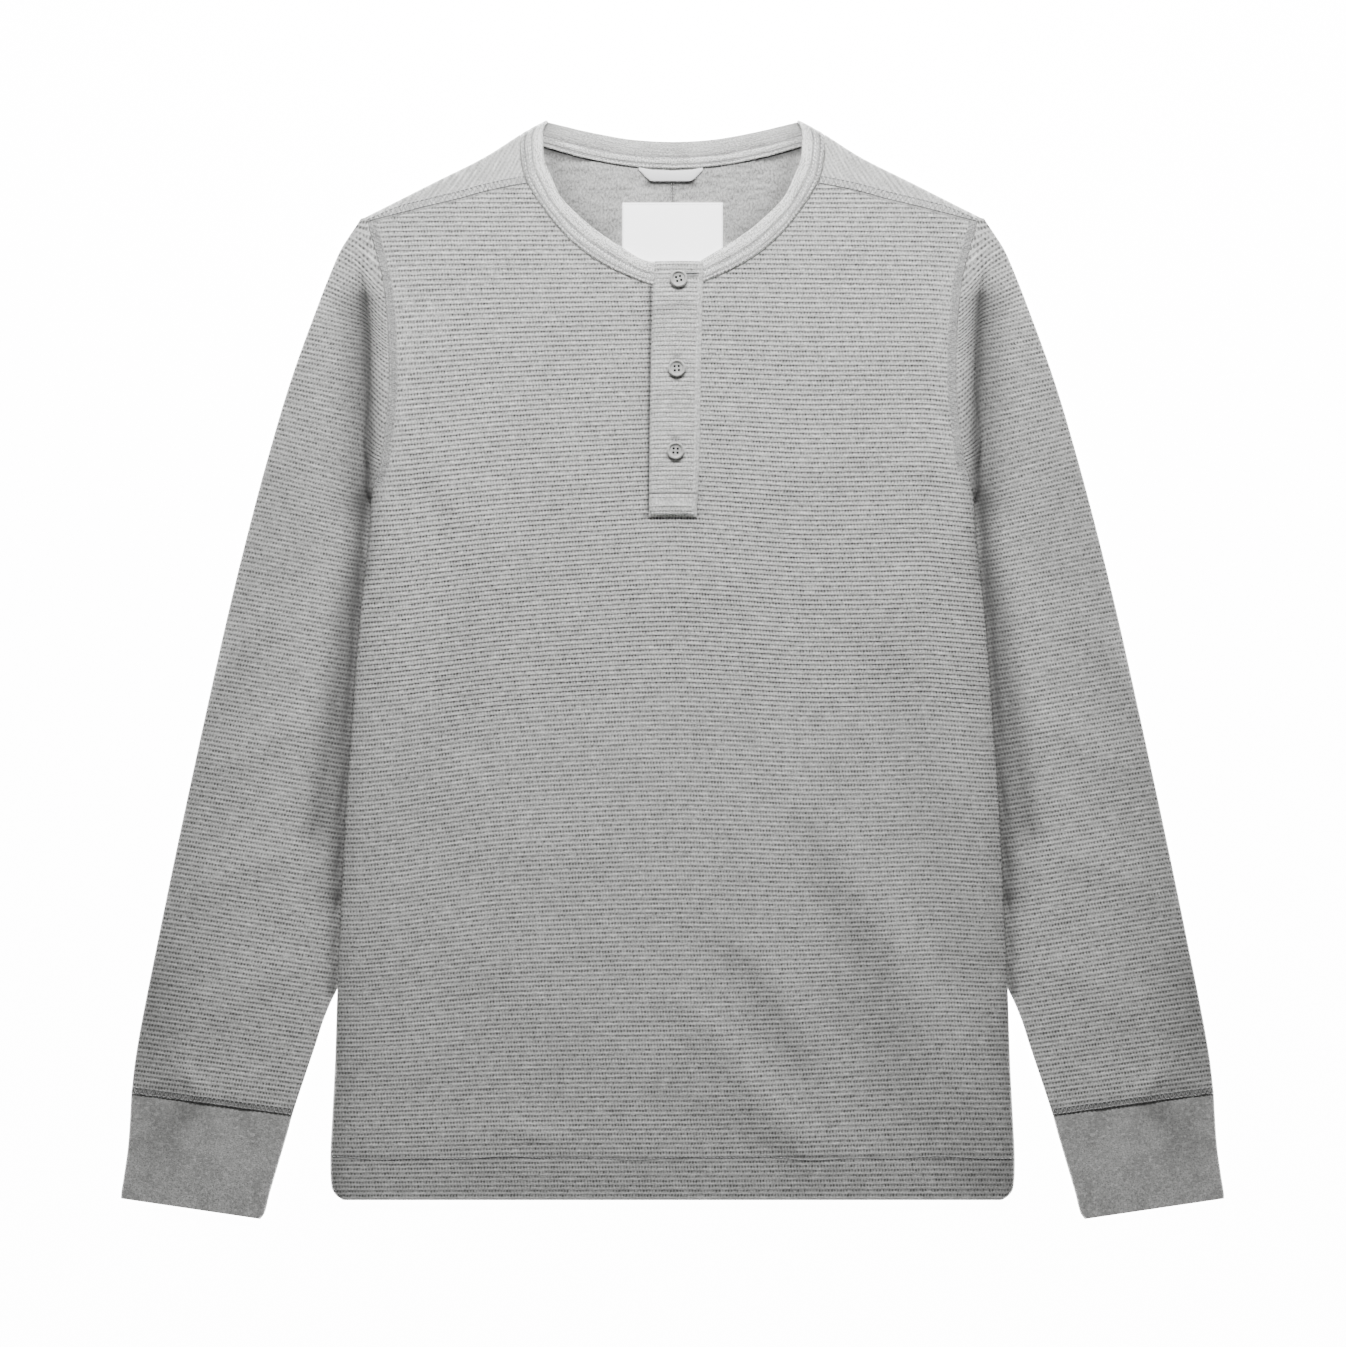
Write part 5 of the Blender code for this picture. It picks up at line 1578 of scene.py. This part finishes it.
class Value:
    """A number in a material; Python's operators on it add the Math nodes."""

    def __init__(self, paint: "Paint", socket: bpy.types.NodeSocket) -> None:
        """Wraps an output socket."""
        self.paint, self.socket = paint, socket

    def math(self, kind: str, *others: "Value | float") -> "Value":
        """Adds one Math node on this value and others."""
        return self.paint.math(kind, self, *others)

    def __add__(self, other: "Value | float") -> "Value":
        """Sum."""
        return self.math("ADD", other)

    def __sub__(self, other: "Value | float") -> "Value":
        """Difference."""
        return self.math("SUBTRACT", other)

    def __rsub__(self, other: float) -> "Value":
        """Difference, with this value taken away."""
        return self.paint.math("SUBTRACT", other, self)

    def __mul__(self, other: "Value | float") -> "Value":
        """Product."""
        return self.math("MULTIPLY", other)

    __radd__ = __add__
    __rmul__ = __mul__


class Paint:
    """Builds one material's nodes around its Principled shader."""

    def __init__(
        self, name: str, roughness: float, sheen: float = 0, specular: float = 0.22, glow: float = 0,
    ) -> None:
        """Makes the material with its constants on the shader's own sockets."""
        self.material = bpy.data.materials.new(name)
        self.material.use_nodes = True
        self.tree = self.material.node_tree
        self.shader = self.tree.nodes["Principled BSDF"]
        constants = {
            "Roughness": roughness, "Specular IOR Level": specular, "Sheen Weight": sheen,
            "Sheen Roughness": 0.6, "Emission Color": (1, 1, 1, 1), "Emission Strength": glow,
        }
        for key, constant in constants.items():
            self.shader.inputs[key].default_value = constant

    def add(
        self, kind: str, settings: dict[str, Any], inputs: dict[Any, Any], output: str | int = 0,
    ) -> Value:
        """Adds a node.

        Args:
            kind: The node's type.
            settings: Its properties, which are set first.
            inputs: Values or links of its sockets, by name or number.
            output: The socket that is used.

        Returns:
            The node's output.
        """
        node = self.tree.nodes.new(kind)
        for key, setting in settings.items():
            setattr(node, key, setting)
        for key, given in inputs.items():
            if isinstance(given, Value):
                self.tree.links.new(given.socket, node.inputs[key])
            else:
                node.inputs[key].default_value = given
        return Value(self, node.outputs[output])

    def math(self, kind: str, *terms: Value | float) -> Value:
        """Adds one Math node on values and numbers."""
        return self.add("ShaderNodeMath", {"operation": kind}, dict(enumerate(terms)))

    def marks(self) -> tuple[Value, Value]:
        """The piece's pattern marks: distance along and count across."""
        uv = self.add("ShaderNodeUVMap", {"uv_map": "marks"}, {})
        along = self.add("ShaderNodeSeparateXYZ", {}, {0: uv})
        return along, Value(self, along.socket.node.outputs[1])

    def shade(self) -> Value:
        """The piece's soft shade."""
        return self.add("ShaderNodeAttribute", {"attribute_name": "shade"}, {}, "Fac")

    def noise(self, place: Value, scale: float, detail: float = 2, rough: float = 0.5) -> Value:
        """Cloudy values from 0 to 1."""
        inputs = {"Vector": place, "Scale": scale, "Detail": detail, "Roughness": rough}
        return self.add("ShaderNodeTexNoise", {}, inputs)

    def cloud(
        self, along: Value, across: Value, depth: float = 0, detail: float = 3, rough: float = 0.6,
    ) -> Value:
        """Cloudy values from 0 to 1 over two numbers; each depth gives other clouds."""
        place = self.add("ShaderNodeCombineXYZ", {}, {0: along, 1: across, 2: depth})
        return self.noise(place, 1, detail, rough)

    def object_place(self) -> Value:
        """Position on the object."""
        spot = self.add("ShaderNodeTexCoord", {}, {}, "Object")
        return self.add("ShaderNodeMapping", {}, {0: spot, "Scale": (1, 1, 1)})

    def band(self, value: Value, low: float, high: float, to_low: float = 0, to_high: float = 1) -> Value:
        """Value mapped smoothly from one range to another."""
        inputs = {0: value, 1: low, 2: high, 3: to_low, 4: to_high}
        return self.add("ShaderNodeMapRange", {"interpolation_type": "SMOOTHSTEP"}, inputs)

    def blend(self, share: Value, one: Sequence[float] | Value, two: Sequence[float] | Value) -> Value:
        """Colour between two."""
        colours = [c if isinstance(c, Value) else (*c, 1) for c in (one, two)]
        return self.add("ShaderNodeMix", {"data_type": "RGBA"}, {0: share, 6: colours[0], 7: colours[1]}, 2)

    def finish(self, colour: Value, height: Value, depth: float) -> Material:
        """Links the colour and the relief to the shader.

        Args:
            colour: Base colour.
            height: Relief from 0 to 1.
            depth: Height of the relief in metres.

        Returns:
            The material.
        """
        bump = self.add("ShaderNodeBump", {}, {"Height": height, "Strength": 1, "Distance": depth})
        self.tree.links.new(colour.socket, self.shader.inputs["Base Color"])
        self.tree.links.new(bump.socket, self.shader.inputs["Normal"])
        return self.material


class Weave(Enum):
    """How a cloth's yarns run."""

    CROSS_RIB = "cross_rib"
    JERSEY = "jersey"
    FINE_RIB = "fine_rib"


@dataclass(frozen=True)
class HeatherKnit:
    """Marled grey knit: pale and dark fibres streaked along the yarns."""

    name: str
    weave: Weave
    tone: float
    spread: float = 0.48  # how far streaks and flecks go from the tone
    # painted shade in the rib grooves: how dark they are painted
    groove_shade: float = 0.98  # how dark the grooves between ribs are
    dot_pitch: float = 2.0  # stitches seen in the grooves, in millimetres

    def grey(self, factor: float) -> Point:
        """Slightly warm grey at a factor of the tone."""
        level = self.tone * factor
        return level, level * 0.998, level * 0.978

    def marl(self, paint: Paint, u: Value, across: Value, flecks: Value) -> Value:
        """Colour of the mixed fibres."""
        streaks = paint.cloud(u * 0.07, across * 0.75, 7, 2)
        clouds = paint.cloud(u * 0.02, across * 0.03, 3)
        marl = paint.band(flecks, 0.3, 0.7, -1, 1) * 0.7 + paint.band(streaks, 0.3, 0.7, -1, 1) * 0.3
        level = marl * self.spread + paint.band(clouds, 0.3, 0.7, -0.06, 0.06) + 0.5
        colour = paint.blend(level, self.grey(0.5), self.grey(1.5))
        return paint.blend(paint.band(flecks, 0.66, 0.78) * 0.35, colour, self.grey(1.5))

    def ribs(self, paint: Paint, u: Value, v: Value, colour: Value) -> Value:
        """Adds pale yarns, and painted shade as dark, dotted lines in the grooves between the ribs, to a
        colour.
        """
        wander = paint.cloud(u * 0.45, v * 0.9, 5, 2)
        off = ((v + wander * 0.5 + 0.25).math("FRACT") - 0.5).math("ABSOLUTE")
        row = (v + 0.5).math("FLOOR")
        shifted = u + row * 0.61 + wander * 0.6
        dots = (shifted * (2 * math.pi / self.dot_pitch)).math("SINE") * 0.3 + 0.74
        # uneven strength of the painted groove shade
        groove_shade_variation = paint.band(paint.cloud(u * 0.3, row * 3.7, 9, 3, 0.75), 0.3, 0.7, 0.45, 1.25)
        pale_yarn = paint.cloud(u * 0.11, v * 1.6, 21, 3, 0.7)
        colour = paint.blend(paint.band(pale_yarn, 0.52, 0.66, 0, 0.72), colour, self.grey(1.55))
        # painted shade: dark, dotted lines in the grooves between the ribs
        return paint.blend(paint.band(off, 0.43, 0.10) * dots * groove_shade_variation * self.groove_shade, colour, self.grey(0.17))

    def make(self) -> Material:
        """Makes the material."""
        paint = Paint(self.name, 0.92, 0.12)
        u, v = paint.marks()
        across = v * RIB if self.weave is Weave.CROSS_RIB else v
        flecks = paint.cloud(u * 0.8, across * 1.5, 0, 3, 0.68)
        colour = self.marl(paint, u, across, flecks)
        height, depth = flecks, 0.0002
        if self.weave is Weave.CROSS_RIB:
            colour = self.ribs(paint, u, v, colour)
            yarn = (u * (2 * math.pi / self.dot_pitch)).math("SINE") * 0.18
            height, depth = yarn + flecks * 0.8, 0.00022
        elif self.weave is Weave.FINE_RIB:
            blots = paint.cloud(u * 0.05, across * 0.04, 4, 4, 0.66)
            pale_blots = paint.cloud(u * 0.3, across * 0.36, 14, 4, 0.8)
            grains = paint.cloud(u * 0.85, across * 0.7, 31, 3, 0.8)
            for cloud, low, high, share, factor in (
                (blots, 0.56, 0.4, 0.5, 0.5),
                (pale_blots, 0.46, 0.66, 0.7, 1.6),
                (grains, 0.54, 0.36, 0.7, 0.4),
            ):
                colour = paint.blend(paint.band(cloud, low, high, 0, share), colour, self.grey(factor))
            height, depth = flecks + blots * 0.6, 0.00028
        return paint.finish(paint.blend(paint.shade(), self.grey(0.1), colour), height, depth)


@dataclass(frozen=True)
class WovenTape:
    """Closely woven pale tape or label; its glow is painted light that brightens it beyond the lamps."""

    name: str
    tone: float
    pitch: float  # between yarns, in millimetres
    # painted light: emission that makes the pale cloth glow
    glow: float

    def make(self) -> Material:
        """Makes the material."""
        paint = Paint(self.name, 0.75, 0.1, glow=self.glow)
        u, v = paint.marks()
        warp, weft = ((mark * (2 * math.pi / self.pitch)).math("SINE") for mark in (u, v))
        weave = warp * weft * 0.5 + 0.5
        cloud = paint.cloud(u * 0.05, v * 0.05, rough=0.5)
        light = (self.tone, self.tone, self.tone * 1.01)
        dark = (self.tone * 0.84, self.tone * 0.84, self.tone * 0.85)
        colour = paint.blend(weave * 0.45 + paint.band(cloud, 0.3, 0.7) * 0.35, dark, light)
        return paint.finish(colour, weave, 0.00008)


@dataclass(frozen=True)
class Thread:
    """Soft sewing thread, a little uneven in tone."""

    name: str
    tone: float
    sheen: float = 0.2

    def make(self) -> Material:
        """Makes the material."""
        paint = Paint(self.name, 0.7, self.sheen)
        cloud = paint.noise(paint.object_place(), 700)
        colour = paint.blend(paint.band(cloud, 0.35, 0.65), (self.tone * 0.8,) * 3, (self.tone * 1.15,) * 3)
        return paint.finish(colour, cloud, 0.00005)


@dataclass(frozen=True)
class Resin:
    """Satin grey button resin with a faint cloud."""

    name: str

    def make(self) -> Material:
        """Makes the material."""
        paint = Paint(self.name, 0.34, specular=0.5)
        place = paint.object_place()
        cloud, speck = paint.noise(place, 260, 3), paint.noise(place, 1600)
        colour = paint.blend(paint.band(cloud, 0.3, 0.7), (0.42, 0.42, 0.41), (0.52, 0.52, 0.505))
        return paint.finish(colour, speck, 0.00003)


class Finish(Enum):
    """Every finish of the shirt."""

    RIB_KNIT = HeatherKnit("heather_rib", Weave.CROSS_RIB, 0.58)
    REVERSE = HeatherKnit("heather_reverse", Weave.JERSEY, 0.415, 0.6)
    PRESSED = HeatherKnit("heather_pressed", Weave.JERSEY, 0.375, 0.6)
    SOFT_RIB = HeatherKnit("heather_soft_rib", Weave.CROSS_RIB, 0.66, 0.4, 0.46)
    PLACKET_RIB = HeatherKnit("heather_placket", Weave.CROSS_RIB, 0.62, 0.6, 0.6)
    FOLDED = HeatherKnit("heather_folded", Weave.JERSEY, 0.62, 0.5)
    CUFF_KNIT = HeatherKnit("heather_cuff", Weave.FINE_RIB, 0.47, 0.24)
    JERSEY = HeatherKnit("heather_jersey", Weave.JERSEY, 0.86, 1.15)
    # the loop and label glow: painted light
    TWILL = WovenTape("loop_twill", 0.84, 0.8, 0.5)
    WOVEN = WovenTape("label_weave", 0.94, 0.55, 2.4)
    RESIN = Resin("button_resin")
    THREAD = Thread("grey_thread", 0.44)
    # near-black thread in the button holes: real thread whose colour is painted shade
    HOLE_SHADE_THREAD = Thread("hole_shade_thread", 0.01, 0)
    WHITE_THREAD = Thread("white_thread", 0.8)


# ---------------------------------------------------------------- floor, light and camera


@dataclass
class Studio:
    """Plain pale floor, soft light from the collar's side and a camera straight above."""

    centre: Spot = (0.0003, -0.0026)
    view_width: float = 0.8884
    camera_height: float = 3.0
    floor_size: float = 9.0
    floor_glow: float = 14.0
    world_light: float = 0.12
    sensor: float = 36.0

    def floor(self) -> None:
        """Makes the floor."""
        bpy.ops.object.select_all(action="DESELECT")
        bpy.ops.mesh.primitive_plane_add(size=self.floor_size, location=(0, 0, -0.0002))
        floor = bpy.context.object
        floor.name = floor.data.name = "floor"
        bpy.ops.object.transform_apply(location=True)
        paint = Paint("floor", 0.9, glow=self.floor_glow)
        paint.shader.inputs["Base Color"].default_value = (0.93, 0.93, 0.93, 1)
        floor.data.materials.append(paint.material)

    def lamp(self, name: str, place: Point, size: Spot, power: float) -> None:
        """Adds a soft lamp that points at the middle of the shirt."""
        lamp = bpy.data.lights.new(name, "AREA")
        lamp.shape = "RECTANGLE"
        (lamp.size, lamp.size_y), lamp.energy = size, power
        holder = bpy.data.objects.new(name, lamp)
        holder.visible_camera = False
        holder.location = place
        holder.rotation_euler = (-Vector(place)).to_track_quat("-Z", "Y").to_euler()
        bpy.context.scene.collection.objects.link(holder)

    def camera(self) -> None:
        """Adds the camera."""
        lens = bpy.data.cameras.new("camera")
        lens.sensor_fit = "HORIZONTAL"
        lens.sensor_width = self.sensor
        lens.lens = self.sensor * self.camera_height / self.view_width
        lens.clip_end = 20
        camera = bpy.data.objects.new("camera", lens)
        camera.location = (*self.centre, self.camera_height)
        bpy.context.scene.collection.objects.link(camera)
        bpy.context.scene.camera = camera

    def build(self) -> None:
        """Adds everything."""
        self.floor()
        self.lamp("key", (0, 0.97, 0.7), (0.7, 0.3), 27.5)
        self.lamp("fill", (0, -0.1, 2.2), (2.4, 2.4), 3.3)
        world = bpy.data.worlds.new("studio")
        world.use_nodes = True
        background = world.node_tree.nodes["Background"].inputs
        background["Color"].default_value = (1, 1, 1, 1)
        background["Strength"].default_value = self.world_light
        bpy.context.scene.world = world
        self.camera()


# ---------------------------------------------------------------- the shirt


class Held(Enum):
    """How a cut piece of cloth is held."""

    LAID = "laid"
    FOLDED = "folded"


@dataclass(frozen=True)
class Cut:
    """Flat size that a piece of cloth was cut to, in metres, what it lies on and the sewing on it."""

    width: float
    length: float
    area: float
    rests_on: str
    sewing: str = ""
    held: Held = Held.LAID

    def declare(self, name: str) -> None:
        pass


# The cut of what each piece shows; a tube's width is the whole way round
CUTS = {
    "front_cloth": Cut(0.456, 0.672, 0.266, "back_cloth", "sewing_body"),
    "back_cloth": Cut(0.450, 0.722, 0.285, "floor"),
    "sleeve_left_cloth": Cut(0.236, 0.605, 0.112, "floor"),
    "sleeve_right_cloth": Cut(0.236, 0.605, 0.112, "floor"),
    "cuff_left_cloth": Cut(0.208, 0.0685, 0.0140, "floor", "sewing_cuff_left"),
    "cuff_right_cloth": Cut(0.208, 0.0685, 0.0140, "floor", "sewing_cuff_right"),
    "neckband_cloth": Cut(0.0147, 0.488, 0.0070, "front_cloth", "sewing_neck"),
    "neck_tape_cloth": Cut(0.0102, 0.176, 0.0015, "back_cloth"),
    "hanger_loop_cloth": Cut(0.0102, 0.046, 0.0003, "back_cloth", held=Held.FOLDED),
    "label_cloth": Cut(0.0665, 0.0452, 0.0030, "back_cloth", "sewing_label"),
    "placket_top_cloth": Cut(0.0346, 0.1687, 0.0057, "placket_under_cloth", "sewing_placket"),
    "placket_under_cloth": Cut(0.0292, 0.1625, 0.0045, "back_cloth"),
}


def place_piece(piece: Object, slot: str, *nodes: str) -> None:
    """Puts a finished piece on the shirt in place of its solids."""
    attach(piece, "root")
    if nodes:
        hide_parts(*nodes)
    log.info("%s: %d faces", piece.name, len(piece.data.polygons))


def main() -> None:
    """Builds and dresses every piece in order."""
    logging.basicConfig(level=logging.INFO, format="%(message)s")
    made = {finish: finish.value.make() for finish in Finish}
    rib_knit, pressed, jersey = made[Finish.RIB_KNIT], made[Finish.PRESSED], made[Finish.JERSEY]
    place_piece(BodyFront().build(rib_knit, pressed), "rib_knit", "front_panel")
    back = BodyBack().build(rib_knit, made[Finish.REVERSE], made[Finish.SOFT_RIB])
    place_piece(back, "rib_knit", "back_panel")
    for name, mirror in (("left", True), ("right", False)):
        sleeve = Sleeve(f"sleeve_{name}_cloth", mirror).build(rib_knit, pressed)
        place_piece(sleeve, "rib_knit", f"sleeve_{name}")
        cuff = Cuff(f"cuff_{name}_cloth", mirror).build(made[Finish.CUFF_KNIT])
        place_piece(cuff, "cuff_knit", f"cuff_{name}")
    neck = Neck()
    place_piece(neck.band(jersey), "jersey", "neckband")
    place_piece(neck.tape(jersey), "jersey", "neck_tape")
    place_piece(neck.loop(made[Finish.TWILL]), "twill", "hanger_loop")
    place_piece(neck.label(made[Finish.WOVEN]), "woven", "label")
    placket = Placket()
    place_piece(placket.top(made[Finish.PLACKET_RIB], made[Finish.FOLDED]), "rib_knit", "placket_top")
    place_piece(placket.under(rib_knit), "rib_knit", "placket_under")
    turns = (((-3, 2), 17), ((-2.5, -1), 4), ((-3, 1), -3))
    buttons = [Button(n + 1, *place, *turn) for n, (place, turn) in enumerate(zip(BUTTON_PLACES, turns))]
    for button in buttons:
        place_piece(button.build(made[Finish.RESIN]), "button_plastic", f"button_{button.number}")
    seams = Seams(placket)
    sewn = [seams.body(), seams.neck(), seams.opening()]
    sewn += [seams.cuff("sewing_cuff_left", -1), seams.cuff("sewing_cuff_right", 1)]
    for sewing in sewn:
        place_piece(sewing.build(made[Finish.THREAD]), "jersey")
    # the button threads are near black: painted shade in the holes
    place_piece(seams.buttons(buttons).build(made[Finish.HOLE_SHADE_THREAD]), "jersey")
    place_piece(seams.label().build(made[Finish.WHITE_THREAD]), "woven")
    for name, cut in CUTS.items():
        cut.declare(name)
    Studio().build()
    log.info("built")


if __name__ == "__main__":
    main()
